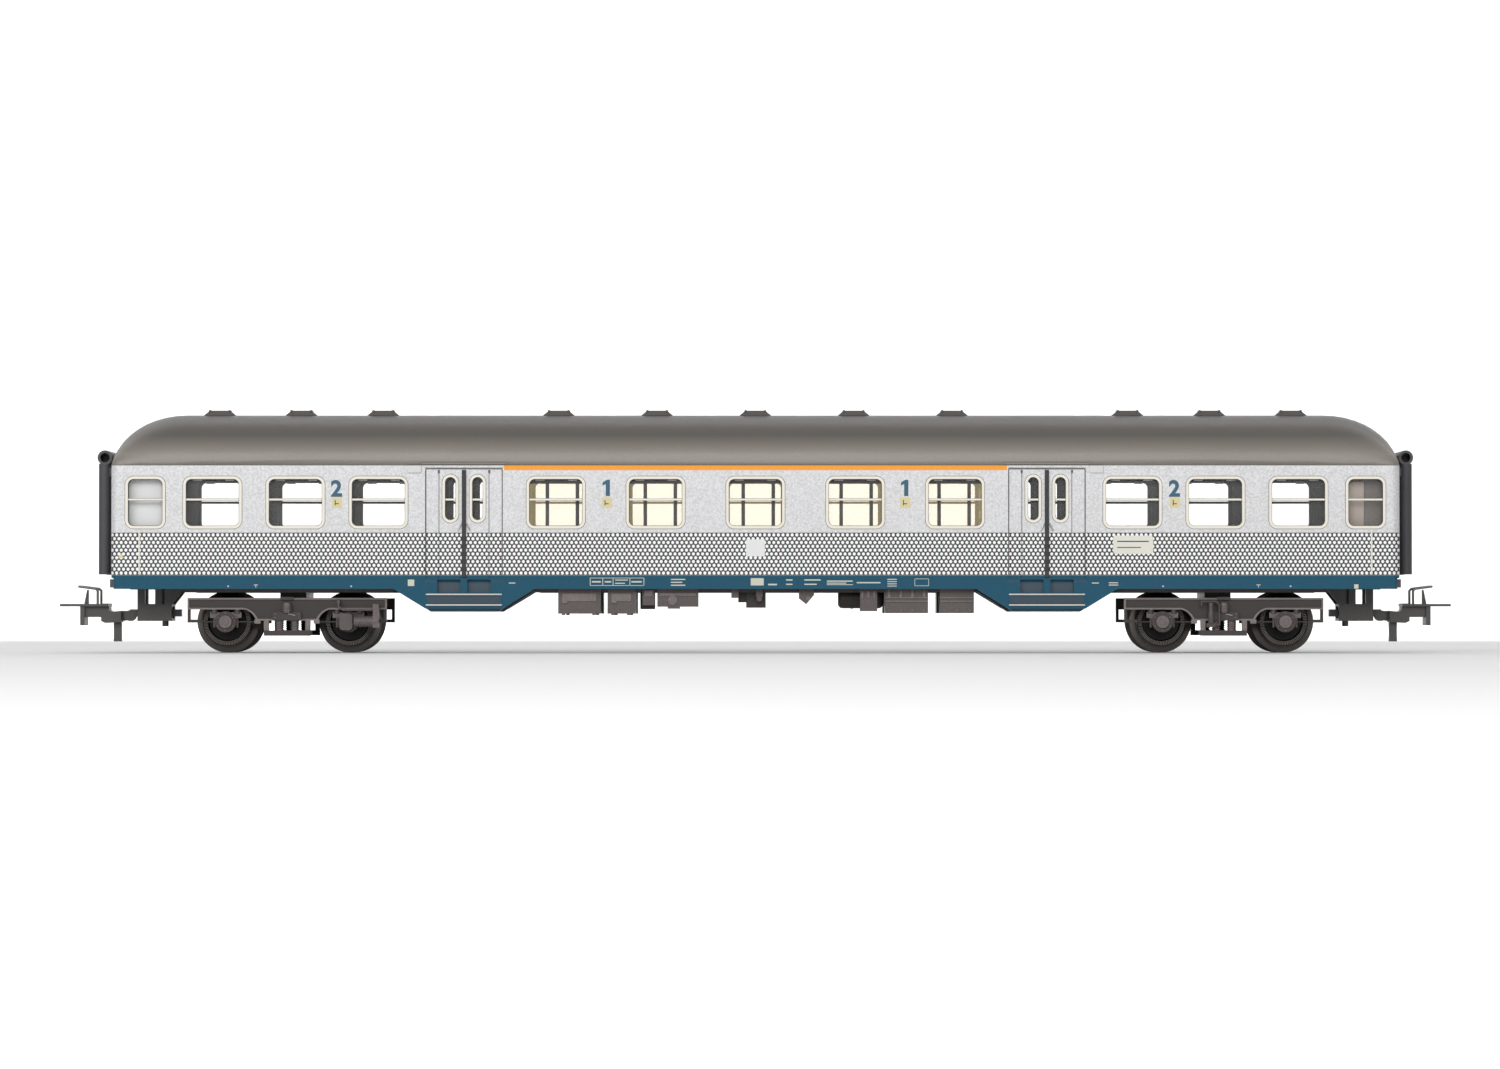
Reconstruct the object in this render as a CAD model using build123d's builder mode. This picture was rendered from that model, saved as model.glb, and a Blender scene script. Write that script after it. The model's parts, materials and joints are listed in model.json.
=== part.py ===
from build123d import *
import os
from math import cos, radians, sin, sqrt

# Model passenger coach in H0: a long body on two bogies, with close couplers at both ends.
# Millimetres, +X towards the front, +Z up. The origin is under the middle of the coach, at the
# lowest point of the wheel flanges. The right side is at -Y.

# ---- overall form
body_length = 261.0        # over the end walls
body_width = 32.4
half_length = body_length / 2
half_width = body_width / 2
body_corner = 1.6          # upright corners of the body
wall = 1.2
rail = 1.15                # rail top over the lowest point of the flanges
sill = rail + 14.0         # lower edge of the body shell
eaves = rail + 36.8
roof_rise = 10.7
roof_wall = wall + 0.1
roof_shoulder = 6.2        # how far the sides rise before they turn in
roof_crown = 0.52          # share of the half width that the flat crown pulls straight
roof_end_run = 14.0        # length of each rounded roof end
roof_end_face = 1.3        # height of the roof over the eaves at its very end
lip_depth = 1.0
lip_width = 0.8

# ---- windows and doors
window_low = rail + 24.0
window_high = rail + 34.6
window_corner = 1.7
wide_window = 11.9
end_window = 8.1
frame_width = 0.55
frame_proud = 0.12
transom_z = rail + 29.9
transom_height = 0.38
first_pitch = 20.2         # first-class windows, about the middle
second_pitch = 16.8        # second-class windows
second_start = 76.3
end_window_x = half_length - 7.0
door_x = 59.0
door_width = 15.7
door_top = rail + 36.4
door_recess = 0.4
groove_x = 5.1
groove_width = 0.24
groove_depth = 0.2
door_window = 3.3
door_window_low = rail + 25.2
door_window_high = rail + 35.0
door_window_x = 2.75
seal_width = 0.85
glass = 0.5
pane_setback = 0.5
passage_width = 9.2
passage_low = sill + 1.6
passage_high = eaves - 2.2
end_door = 0.7

# ---- roof ventilators
vent_places = (0, 20.15, 40.3, 76.3, 93.1, 109.8)
vent_base = 6.4
vent_top = 4.0
vent_height = 0.95
vent_width = 3.4
vent_knob = 0.28

# ---- small pieces on the sides
gutter_length = 17.4
gutter_size = 0.35
sign_box = (2.8, 1.5, 0.35)
sign_box_offset = 10.0
rail_x = half_length - 5.8
rail_size = 0.3
rail_low = rail + 14.9
rail_high = rail + 23.7

# ---- underframe
solebar_low = rail + 11.8
skirt = 1.0
deck = 0.8
well_low = rail + 7.8
well_flat = 15.5
well_top = 28.6
step_width = 15.4
tread_places = (rail + 8.55, rail + 10.7)
tread_size = 0.32
recess_x = (0.7, 5.4)      # step recesses, each side of the middle post
recess_z = (rail + 11.05, rail + 13.7)
step_box_low = rail + 7.2
step_box_width = 5.0
plate = 1.0
plate_width = body_width - 3.6
plate_length = body_length - 2.0
rib_low = rail + 11.1
rib_width = 0.8
rib_setback = 0.8          # outer face of the rib from the edge of the plate
rib_reach = half_length - 14.5
headstock = 0.9
headstock_width = body_width - 4.4

# ---- inside
floor_thick = 1.0
shell_clearance = 0.1
ballast = 1.2
ballast_width = 22.0
ballast_half = 86.0
seat_high = rail + 23.4
seat_depth = 5.2
seat_base_high = rail + 19.6
seat_back = 1.2
aisle = 5.0
partition = 0.8
partition_high = eaves - lip_depth - 0.4
corridor_y = 5.6
corridor_posts = (-2.5, 3.7)
post_width = 0.75

# ---- equipment under the floor
equipment_depth = 8.0
tank_radius = 2.1
tank_strap = 0.12
tank_x = (16.8, 26.0)
pipe_radius = 0.22

# ---- running gear
pivot_x = 95.0
wheelbase = 24.9
tread_radius = 5.15
axle_z = rail + tread_radius
back_to_back = 14.3
wheel_width = 2.8
flange_width = 0.9
axle_radius = 1.0
journal_radius = 0.6
bearing_clearance = 0.05
side_frame_in = 12.3       # inner face of the side frames, from the middle
side_frame = 1.2
side_frame_half = 20.2
frame_top = rail + 10.0
beam_low = rail + 7.65
frame_mid_low = rail + 5.4
frame_rim = 0.35
frame_pocket = 0.3
arch_start = 8.6           # where the beam turns down to its middle, from the pivot
arch_end = 6.3
box_radius = 2.13
cap_radius = 1.28
tie_rod = 0.17
guard_low = rail + 5.6
plank_z = (rail + 2.3, rail + 3.4)
plank_half = 4.7
spring_x = 1.55
spring_radius = 0.75
pivot_radius = 2.5
pivot_clearance = 0.1
bolster_low = rail + 8.8
bolster_half = 3.6
screw_head = 3.4
screw_radius = 1.0

# ---- couplers and gangways
head_pivot_x = half_length - 2.3
head_pivot_z = rail + 6.4
head_pin = 0.5
eye_radius = 1.1
fork_gap = 1.6
swing_x = half_length - 9.45
swing_pin = 0.65
guide_x = (half_length - 11.1, half_length - 4.1)
guide_z = (rail + 5.3, rail + 8.8)
guide_half = 3.9
guide_wall = 0.55
shank_z = (rail + 6.2, rail + 7.7)
shank_half = 1.0
shank_end = half_length - 12.8
coupler_clearance = 0.15
loop_half = 3.2
loop_wire = 0.25
roll_x = half_length + 2.1
roll_z = rail + 38.6
roll_radius = 1.5
roll_bore = 0.95
roll_half = 8.2
tube_radius = 1.25
tube_x = half_length + 2.2
tube_low = rail + 14.8
gangway_plate = 0.6

inner_y = half_width - wall
inner_x = half_length - wall
inner_corner = body_corner - wall / 2
plate_low = sill - deck - plate
flange_radius = tread_radius + rail
window_mid = (window_high + window_low) / 2
window_height = window_high - window_low
door_window_mid = (door_window_high + door_window_low) / 2
door_window_height = door_window_high - door_window_low
floor_top = sill + floor_thick
ballast_top = floor_top + ballast
ENDS = {"front": 1, "rear": -1}
SIDES = {"right": -1, "left": 1}
first_windows = [i * first_pitch for i in range(-2, 3)]
second_windows = [s * (second_start + i * second_pitch) for s in (-1, 1) for i in range(3)]
doors = (-door_x, door_x)
parts = {}


# ---- shapes that repeat
def block(x, y, z, mode=Mode.ADD):
    """A block between the two values given along each axis, inside the open part."""
    with Locations(((x[0] + x[1]) / 2, (y[0] + y[1]) / 2, (z[0] + z[1]) / 2)):
        Box(abs(x[1] - x[0]), abs(y[1] - y[0]), abs(z[1] - z[0]), mode=mode)


def to_side(side, *distances):
    """Distances outwards from the middle as places on one side."""
    return tuple(side * d for d in distances)


def about(place, half):
    """The two values at the same distance from a place."""
    return (place - half, place + half)


def rod(start, end, radius, mode=Mode.ADD):
    """A round bar from start to end, inside the open part."""
    run = Vector(*end) - Vector(*start)
    with BuildSketch(Plane(origin=start, z_dir=run)) as section:
        Circle(radius)
    extrude(section.sketch, amount=run.length, mode=mode)


def slab(points, y, mode=Mode.ADD):
    """A plate cut to an outline in X and Z, standing between two values of Y."""
    with BuildSketch(Plane.XZ.offset(-max(y))) as outline:
        with BuildLine():
            Polyline(*points, close=True)
        make_face()
    extrude(outline.sketch, amount=max(y) - min(y), mode=mode)


def wide_windows(inset=0.0):
    """The wide and end windows of one side, on the open sketch."""
    corner = window_corner - inset
    with Locations(*[(x, window_mid) for x in first_windows + second_windows]):
        RectangleRounded(wide_window - 2 * inset, window_height - 2 * inset, corner)
    with Locations((-end_window_x, window_mid), (end_window_x, window_mid)):
        RectangleRounded(end_window - 2 * inset, window_height - 2 * inset, corner)


def door_windows(inset=0.0):
    """The door windows of one side, on the open sketch."""
    with Locations(*[(x + s * door_window_x, door_window_mid) for x in doors for s in (-1, 1)]):
        SlotOverall(door_window_height - 2 * inset, door_window - 2 * inset, rotation=90)


def windows_between(shapes, inset, y, mode=Mode.ADD):
    """Window shapes as plates between two values of Y."""
    with BuildSketch(Plane.XZ.offset(-max(y))) as openings:
        shapes(inset)
    extrude(openings.sketch, amount=max(y) - min(y), mode=mode)


# ==== body shell: four walls, window and passage openings, recessed doors
with BuildPart() as body_shell:
    with BuildSketch(Plane.XY.offset(sill)):
        RectangleRounded(body_length, body_width, body_corner)
        RectangleRounded(2 * inner_x, 2 * inner_y, inner_corner, mode=Mode.SUBTRACT)
    extrude(amount=eaves - sill)
    windows_between(wide_windows, 0, (-half_width, half_width), Mode.SUBTRACT)
    windows_between(door_windows, 0, (-half_width, half_width), Mode.SUBTRACT)
    for door in doors:
        for side in SIDES.values():
            recess = to_side(side, half_width - door_recess, half_width + wall)
            block(about(door, door_width / 2), recess, (sill - 1, door_top), Mode.SUBTRACT)
            groove = to_side(side, half_width - door_recess - groove_depth, half_width)
            for edge in (-groove_x, groove_x):
                block(about(door + edge, groove_width / 2), groove, (sill - 1, door_top - 0.8),
                      Mode.SUBTRACT)
    block((-half_length - 1, half_length + 1), about(0, passage_width / 2),
          (passage_low, passage_high), Mode.SUBTRACT)
parts["body_shell"] = body_shell


# ==== roof: an arch that keeps its shape and sinks to the eaves at both ends
def arch(half, rise, scale):
    """The roof's section on the open sketch: full shoulders and a flatter crown."""
    def height(z):
        return eaves + z * scale

    with BuildLine() as section:
        for side in (-1, 1):
            Bezier((side * half, height(0)), (side * half, height(roof_shoulder)),
                   (side * half * roof_crown, height(rise)), (0, height(rise)))
        Line((-half, height(0)), (half, height(0)))
    make_face(section.edges())


def arched_form(inset):
    """The roof's outer form, or its hollow where inset is the wall."""
    half = half_width - inset
    rise = roof_rise - inset
    straight = half_length - roof_end_run
    run = roof_end_run - inset
    with BuildSketch(Plane.YZ.offset(-straight)) as middle:
        arch(half, rise, 1)
    extrude(middle.sketch, amount=2 * straight)
    corner = body_corner - inset / 2
    for side in (-1, 1):
        sections = []
        for turn in range(0, 91, 9):
            reach = run * sin(radians(turn))
            scale = (roof_end_face + (rise - roof_end_face) * cos(radians(turn))) / rise
            past = max(0, reach - run + corner) / corner
            tuck = corner * (1 - sqrt(1 - past ** 2))
            with BuildSketch(Plane.YZ.offset(side * (straight + reach))) as cut:
                arch(half - tuck, rise, scale)
            sections.append(cut.sketch.face())
        loft(sections, ruled=True)


with BuildPart() as roof_form:
    arched_form(0)

with BuildPart() as roof_hollow:
    arched_form(roof_wall)

with BuildPart() as roof:
    add(roof_form.part)
    add(roof_hollow.part, mode=Mode.SUBTRACT)
    with BuildSketch(Plane.XY.offset(eaves - lip_depth)):
        RectangleRounded(2 * (inner_x - shell_clearance), 2 * (inner_y - shell_clearance),
                         inner_corner)
        Rectangle(2 * (inner_x - shell_clearance - lip_width),
                  2 * (inner_y - shell_clearance - lip_width), mode=Mode.SUBTRACT)
    extrude(amount=lip_depth + 0.3)
parts["roof"] = roof

with BuildPart() as roof_vents:
    crown_z = eaves + roof_rise
    foot = crown_z - 0.6
    for place in sorted({s * x for x in vent_places for s in (-1, 1)}):
        outline = [(place - vent_base / 2, foot), (place + vent_base / 2, foot),
                   (place + vent_base / 2, crown_z), (place + vent_top / 2, crown_z + vent_height),
                   (place - vent_top / 2, crown_z + vent_height), (place - vent_base / 2, crown_z)]
        slab(outline, about(0, vent_width / 2))
        for edge in about(place, vent_top / 2):
            height = crown_z + vent_height - vent_knob / 2
            rod((edge, -vent_width / 2 - 0.1, height), (edge, vent_width / 2 + 0.1, height),
                vent_knob)
    add(roof_form.part, mode=Mode.SUBTRACT)
parts["roof_vents"] = roof_vents

# ==== windows: cream frames through the wall, clear panes on a strip behind it
for name, side in SIDES.items():
    with BuildPart() as frames:
        outer = half_width + frame_proud
        windows_between(wide_windows, 0, to_side(side, inner_y, outer))
        windows_between(wide_windows, frame_width, to_side(side, inner_y, outer), Mode.SUBTRACT)
        outer -= door_recess
        windows_between(door_windows, 0, to_side(side, inner_y, outer))
        windows_between(door_windows, frame_width, to_side(side, inner_y, outer), Mode.SUBTRACT)
        bar = to_side(side, half_width - pane_setback, half_width)
        reach = wide_window / 2 - frame_width / 2
        for x in first_windows + second_windows:
            block(about(x, reach), bar, about(transom_z, transom_height / 2))
        for x in (-end_window_x, end_window_x):
            block(about(x, reach - (wide_window - end_window) / 2), bar,
                  about(transom_z, transom_height / 2))
        bar = to_side(side, half_width - door_recess - pane_setback, half_width - door_recess)
        for x in doors:
            for s in (-1, 1):
                block(about(x + s * door_window_x, (door_window - frame_width) / 2), bar,
                      about(transom_z, transom_height / 2))
    parts[f"window_frames_{name}"] = frames

    with BuildPart() as glazing:
        strip = to_side(side, inner_y - glass, inner_y)
        block(about(0, inner_x - inner_corner - 0.1), strip, (window_low - 0.6, window_high + 0.5))
        pane = to_side(side, inner_y - glass / 2, half_width - pane_setback)
        windows_between(wide_windows, frame_width, pane)
        pane = to_side(side, inner_y - glass / 2, half_width - door_recess - pane_setback)
        windows_between(door_windows, frame_width, pane)
    parts[f"glazing_{name}"] = glazing

# ==== pieces on the outside of the body
with BuildPart() as door_seals:
    for door in doors:
        for side in SIDES.values():
            block(about(door, seal_width / 2),
                  to_side(side, half_width - door_recess, half_width + 0.1),
                  (sill + 0.1, door_top - 0.5))
parts["door_seals"] = door_seals

with BuildPart() as rain_gutters:
    for door in doors:
        for side in SIDES.values():
            block(about(door, gutter_length / 2),
                  to_side(side, half_width - 0.3, half_width + gutter_size),
                  (eaves + 0.2, eaves + 0.2 + gutter_size))
    add(roof_form.part, mode=Mode.SUBTRACT)
parts["rain_gutters"] = rain_gutters

with BuildPart() as destination_boxes:
    for end in ENDS.values():
        for side in SIDES.values():
            block(about(end * (door_x + sign_box_offset), sign_box[0] / 2),
                  to_side(side, half_width, half_width + sign_box[2]),
                  (eaves - sign_box[1], eaves))
parts["destination_boxes"] = destination_boxes

with BuildPart() as handrails:
    for end in ENDS.values():
        for side in SIDES.values():
            block(about(end * rail_x, rail_size / 2),
                  to_side(side, half_width, half_width + rail_size), (rail_low, rail_high))
parts["handrails"] = handrails

with BuildPart() as end_doors:
    for end in ENDS.values():
        leaf = (end * (half_length - wall), end * (half_length - wall + end_door))
        block(leaf, about(0, passage_width / 2), (passage_low, passage_high))
        for side in SIDES.values():
            with BuildSketch(Plane.YZ.offset(end * half_length)):
                with Locations((side * passage_width / 4, window_mid)):
                    RectangleRounded(2.4, 8.0, 0.6)
            extrude(amount=-end * 2 * wall, mode=Mode.SUBTRACT)
parts["end_doors"] = end_doors

# ==== gangways: a rubber roll over two upright tubes, on a plate at each end wall
for name, end in ENDS.items():
    with BuildPart() as gangway:
        rod((end * roll_x, -roll_half, roll_z), (end * roll_x, roll_half, roll_z), roll_radius)
        for side in SIDES.values():
            y = side * (roll_half - tube_radius)
            rod((end * tube_x, y, tube_low), (end * tube_x, y, roll_z - 1.2), tube_radius)
            rod((end * roll_x, side * (roll_half + 1), roll_z),
                (end * roll_x, side * (roll_half - 4), roll_z), roll_bore, Mode.SUBTRACT)
            block((end * half_length, end * (half_length + gangway_plate)),
                  to_side(side, passage_width / 2 + 0.2, roll_half - 0.3),
                  (tube_low, passage_high + 0.5))
            block((end * half_length, end * tube_x), about(y, 0.35), (tube_low, roll_z - 2))
        block((end * half_length, end * roll_x), about(0, roll_half - 0.5),
              (passage_high + 0.2, eaves - 0.3))
        block((end * (tube_x - 0.6), end * (tube_x + 0.2)), about(0, roll_half - 0.6),
              (passage_high + 0.3, roll_z - 1.2))
    parts[f"gangway_{name}"] = gangway

# ==== underframe: a deck with skirts that drop to a step well under each door
with BuildPart() as underframe:
    block(about(0, half_length - 0.5), about(0, half_width - 0.1), (sill - deck, sill))
    for side in SIDES.values():
        across = to_side(side, half_width - 0.1 - skirt, half_width - 0.1)
        block(about(0, half_length - 0.5), across, (solebar_low, sill))
        for door in doors:
            slab([(door - well_top / 2, solebar_low), (door - well_flat / 2, well_low),
                  (door + well_flat / 2, well_low), (door + well_top / 2, solebar_low),
                  (door + well_top / 2, sill - deck), (door - well_top / 2, sill - deck)], across)
            for s in (-1, 1):
                block((door + s * recess_x[0], door + s * recess_x[1]), across, recess_z,
                      Mode.SUBTRACT)
    fillet(underframe.edges().filter_by(Axis.Z).filter_by(
        lambda e: abs(abs(e.center().X) - half_length + 0.5) < 0.01
        and abs(abs(e.center().Y) - half_width + 0.1) < 0.01), 0.8 * skirt)
parts["underframe"] = underframe

with BuildPart() as step_boxes:
    for door in doors:
        for side in SIDES.values():
            depth = half_width - 0.1 - skirt
            slab([(door - well_top / 2 + 1, solebar_low - 0.3), (door - well_flat / 2 + 1, step_box_low),
                  (door + well_flat / 2 - 1, step_box_low),
                  (door + well_top / 2 - 1, solebar_low - 0.3), (door + step_width / 2, plate_low),
                  (door + step_width / 2, sill - deck), (door - step_width / 2, sill - deck),
                  (door - step_width / 2, plate_low)], to_side(side, depth - step_box_width, depth))
parts["step_boxes"] = step_boxes

with BuildPart() as step_treads:
    for door in doors:
        for side in SIDES.values():
            for height in tread_places:
                block(about(door, step_width / 2),
                      to_side(side, half_width - 0.1, half_width + 0.3),
                      about(height, tread_size / 2))
parts["step_treads"] = step_treads

bolster_high = plate_low - pivot_clearance
step_inner_y = half_width - 0.1 - skirt - step_box_width
with BuildPart() as chassis_plate:
    block(about(0, plate_length / 2), about(0, step_inner_y), (plate_low, sill - deck))
    for side in SIDES.values():
        edge = to_side(side, step_inner_y, plate_width / 2)
        block(about(0, door_x - well_top / 2), edge, (plate_low, sill - deck))
        for end in ENDS.values():
            block((end * (door_x + well_top / 2), end * plate_length / 2), edge,
                  (plate_low, sill - deck))
        rib_y = plate_width / 2 - rib_setback
        rib = to_side(side, rib_y - rib_width, rib_y)
        block(about(0, door_x - well_top / 2), rib, (rib_low, plate_low))
        for end in ENDS.values():
            block((end * (door_x + well_top / 2), end * rib_reach), rib, (rib_low, plate_low))
    for end in ENDS.values():
        rod((end * pivot_x, 0, bolster_low), (end * pivot_x, 0, plate_low + 0.1), pivot_radius)
        rod((end * pivot_x, 0, bolster_low - 1), (end * pivot_x, 0, sill), screw_radius,
            Mode.SUBTRACT)
parts["chassis_plate"] = chassis_plate

with BuildPart() as pivot_screws:
    for end in ENDS.values():
        x = end * pivot_x
        head_top = bolster_low - pivot_clearance
        rod((x, 0, head_top - 0.9), (x, 0, head_top), screw_head)
        rod((x, 0, head_top - 0.1), (x, 0, sill - deck), screw_radius)
        block(about(x, 0.3), about(0, screw_head - 0.8), (head_top - 1, head_top - 0.5),
              Mode.SUBTRACT)
parts["pivot_screws"] = pivot_screws

with BuildPart() as headstocks:
    for end in ENDS.values():
        outer = end * (half_length - 0.5)
        block((outer, outer + end * headstock), about(0, headstock_width / 2),
              (solebar_low + 0.3, sill - 0.2))
parts["headstocks"] = headstocks

# ==== inside: floor, ballast, seats, partitions and corridor wall
with BuildPart() as floor:
    with BuildSketch(Plane.XY.offset(sill)):
        RectangleRounded(2 * (inner_x - shell_clearance), 2 * (inner_y - shell_clearance),
                         inner_corner)
    extrude(amount=floor_thick)
parts["floor"] = floor

with BuildPart() as ballast_plate:
    block(about(0, ballast_half), about(0, ballast_width / 2), (floor_top, ballast_top))
parts["ballast_plate"] = ballast_plate


def bench(x, facing, y):
    """A bench with its back at x, facing along +X or -X, between two values of Y."""
    block((x, x + facing * seat_depth), y, (ballast_top, seat_base_high))
    block((x, x + facing * seat_back), y, (ballast_top, seat_high))


seat_outer = inner_y - glass - 0.2
with BuildPart() as seats_first:
    for x in first_windows:
        for facing in (-1, 1):
            bench(x - facing * (first_pitch / 2 - 0.2 - partition / 2), facing,
                  (-seat_outer, corridor_y - 0.4))
parts["seats_first"] = seats_first

with BuildPart() as seats_second:
    for x in second_windows:
        for facing in (-1, 1):
            for side in SIDES.values():
                bench(x - facing * (second_pitch / 2 - 0.2), facing,
                      to_side(side, aisle / 2, seat_outer))
parts["seats_second"] = seats_second

with BuildPart() as corridor_wall:
    reach = 2.5 * first_pitch
    block(about(0, reach), about(corridor_y, 0.3), (ballast_top, partition_high))
    for x in first_windows:
        left = x + corridor_posts[0]
        right = x + corridor_posts[1]
        block((left + post_width / 2, right - post_width / 2), about(corridor_y, 1),
              (window_low + 0.1, window_high - 1.0), Mode.SUBTRACT)
        if x + first_pitch < reach:
            block((right + post_width / 2, left + first_pitch - post_width / 2),
                  about(corridor_y, 1), (window_low + 0.1, window_high - 1.0), Mode.SUBTRACT)
    for end in (-reach, reach):
        near = (first_windows[0] if end < 0 else first_windows[-1])
        near += (corridor_posts[0] - post_width / 2 if end < 0
                 else corridor_posts[1] + post_width / 2)
        block((end, near), about(corridor_y, 1), (window_low + 0.1, window_high - 1.0),
              Mode.SUBTRACT)
parts["corridor_wall"] = corridor_wall

with BuildPart() as partitions:
    for end in ENDS.values():
        for distance in (2.5 * first_pitch + partition / 2, second_start - second_pitch / 2 - 0.6,
                         second_start + 2.5 * second_pitch + 0.6):
            x = end * distance
            for side in SIDES.values():
                block(about(x, partition / 2), to_side(side, aisle / 2 + 0.6, seat_outer),
                      (ballast_top if distance < ballast_half else floor_top, partition_high))
            block(about(x, partition / 2), about(0, aisle / 2 + 0.7),
                  (window_high - 0.8, partition_high))
parts["partitions"] = partitions

# ==== underfloor equipment, hanging from the chassis plate
near_face = plate_width / 2 - 0.4


def hung_box(x, low, sides=(-1,), depth=equipment_depth, face=near_face):
    """A box under the floor on the given sides; its top is notched over the rib."""
    for side in sides:
        block(x, to_side(side, face - depth, face), (low, plate_low))


def relief(x, z, proud=0.25, sides=(-1,), face=near_face):
    """A raised panel on the outer face of a box."""
    for side in sides:
        block(x, to_side(side, face - 0.1, face + proud), z)


with BuildPart() as battery_boxes:
    for x in ((-40.0, -31.35), (-30.0, -24.3)):
        hung_box(x, rail + 6.8, SIDES.values())
        relief((x[0] + 0.8, x[1] - 0.9), (rail + 9.3, rail + 10.9), 0.2, SIDES.values())
        relief((x[0] + 0.8, x[0] + 1.9), (rail + 8.9, rail + 9.35), 0.35, SIDES.values())
        for foot_x in (x[0] + 1.1, x[1] - 1.4):
            hung_box(about(foot_x, 0.35), rail + 6.5, SIDES.values(), 0.6)
    add(chassis_plate.part, mode=Mode.SUBTRACT)
parts["battery_boxes"] = battery_boxes

with BuildPart() as valve_box:
    hung_box((-22.9, -20.4), rail + 8.5, depth=4)
    rod((-23.4, -near_face + 4.7, plate_low - 2.3), (-20.4, -near_face + 4.7, plate_low - 2.3),
        2.2)
    relief((-22.5, -20.8), (rail + 10.3, rail + 11.6))
    add(chassis_plate.part, mode=Mode.SUBTRACT)
parts["valve_box"] = valve_box

with BuildPart() as converter_box:
    hung_box((-19.9, -11.6), rail + 8.2)
    hung_box((-17.8, -15.3), rail + 7.8, depth=2)
    relief((-19.5, -12.0), (rail + 10.4, rail + 11.0), 0.2)
    rod((-16.8, -near_face + 0.1, rail + 9.5), (-16.8, -near_face - 0.3, rail + 9.5), 0.95)
    add(chassis_plate.part, mode=Mode.SUBTRACT)
parts["converter_box"] = converter_box

with BuildPart() as brake_unit:
    hung_box((-4.9, -3.4), rail + 10.0, depth=3)
    hung_box((-3.5, -1.9), rail + 9.1, depth=5, face=near_face - 2.5)
    hung_box((-1.9, 2.1), rail + 8.0, depth=8, face=near_face - 2)
    add(chassis_plate.part, mode=Mode.SUBTRACT)
parts["brake_unit"] = brake_unit

with BuildPart() as brake_valve:
    valve_y = (-near_face, -near_face + 2)
    block((0.1, 1.5), valve_y, (rail + 10.2, plate_low))
    rod((0.8, valve_y[0], rail + 9.8), (0.8, valve_y[1], rail + 9.8), 0.55)
    add(chassis_plate.part, mode=Mode.SUBTRACT)
parts["brake_valve"] = brake_valve

with BuildPart() as hanger_bracket:
    slab([(8.8, plate_low), (11.9, plate_low), (11.9, rail + 10.6), (10.3, rail + 8.7),
          (8.8, rail + 9.9)], (-near_face, -near_face + 1.8))
    rod((10.7, -near_face - 0.3, rail + 9.9), (10.7, -near_face + 1.5, rail + 9.9), 0.45)
    add(chassis_plate.part, mode=Mode.SUBTRACT)
parts["hanger_bracket"] = hanger_bracket

tank_y = -near_face + 5.6
tank_z = plate_low - tank_radius - tank_strap
with BuildPart() as air_tank:
    rod((tank_x[0], tank_y, tank_z), (tank_x[1], tank_y, tank_z), tank_radius)
    fillet(air_tank.edges().group_by(Axis.X)[0] + air_tank.edges().group_by(Axis.X)[-1],
           0.45 * tank_radius)
    for strap in (tank_x[0] + 2.8, tank_x[1] - 1.8):
        rod((strap - 0.2, tank_y, tank_z), (strap + 0.2, tank_y, tank_z), tank_radius + tank_strap)
        block(about(strap, 0.2), about(tank_y, 1.1), (tank_z, plate_low))
parts["air_tank"] = air_tank

with BuildPart() as relay_box:
    hung_box((21.2, 24.7), rail + 7.3, depth=2.9)
    for rib_x in (21.7, 22.9, 24.1):
        relief(about(rib_x, 0.25), (rail + 9.9, rail + 11.4))
    add(chassis_plate.part, mode=Mode.SUBTRACT)
parts["relay_box"] = relay_box

with BuildPart() as lockers:
    for x, ribs, rivets in (((26.3, 35.0), 4, 4), ((37.4, 45.4 - 1.1), 0, 3)):
        hung_box(x, rail + 6.9, SIDES.values())
        span = x[1] - x[0]
        relief((x[0], x[1]), (rail + 9.9, rail + 10.15), 0.25, SIDES.values())
        relief((x[0], x[1]), (rail + 9.2, rail + 9.45), 0.25, SIDES.values())
        for i in range(ribs):
            relief(about(x[0] + 0.8 + i * (span - 1.6) / (ribs - 1), 0.25),
                   (rail + 10.1, rail + 11.8), 0.2, SIDES.values())
        for i in range(rivets):
            rivet_x = x[0] + 0.9 + i * (span - 1.8) / (rivets - 1)
            for side in SIDES.values():
                rod((rivet_x, side * (near_face - 0.1), rail + 7.5),
                    (rivet_x, side * (near_face + 0.15), rail + 7.5), 0.22)
    add(chassis_plate.part, mode=Mode.SUBTRACT)
parts["lockers"] = lockers

# ==== bogies: side frames with axle boxes, a bolster across, spring planks below
journal_reach = side_frame_in + 0.8
frame_out = side_frame_in + side_frame


def side_frame_outline(inset):
    """The side frame's outline on the open sketch, shrunk evenly by inset."""
    low = beam_low + inset
    mid = frame_mid_low + inset
    start = arch_start + inset * 0.2
    end = arch_end - inset
    high = frame_top - inset
    half = side_frame_half - inset
    with BuildLine() as outline:
        Polyline((-end, mid), (end, mid))
        ThreePointArc((end, mid), ((start + end) / 2 - 0.25, (mid + low) / 2 + 0.35), (start, low))
        Polyline((start, low), (half, low), (half, high), (-half, high), (-half, low),
                 (-start, low))
        ThreePointArc((-start, low), (-(start + end) / 2 + 0.25, (mid + low) / 2 + 0.35),
                      (-end, mid))
    make_face(outline.edges())


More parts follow.
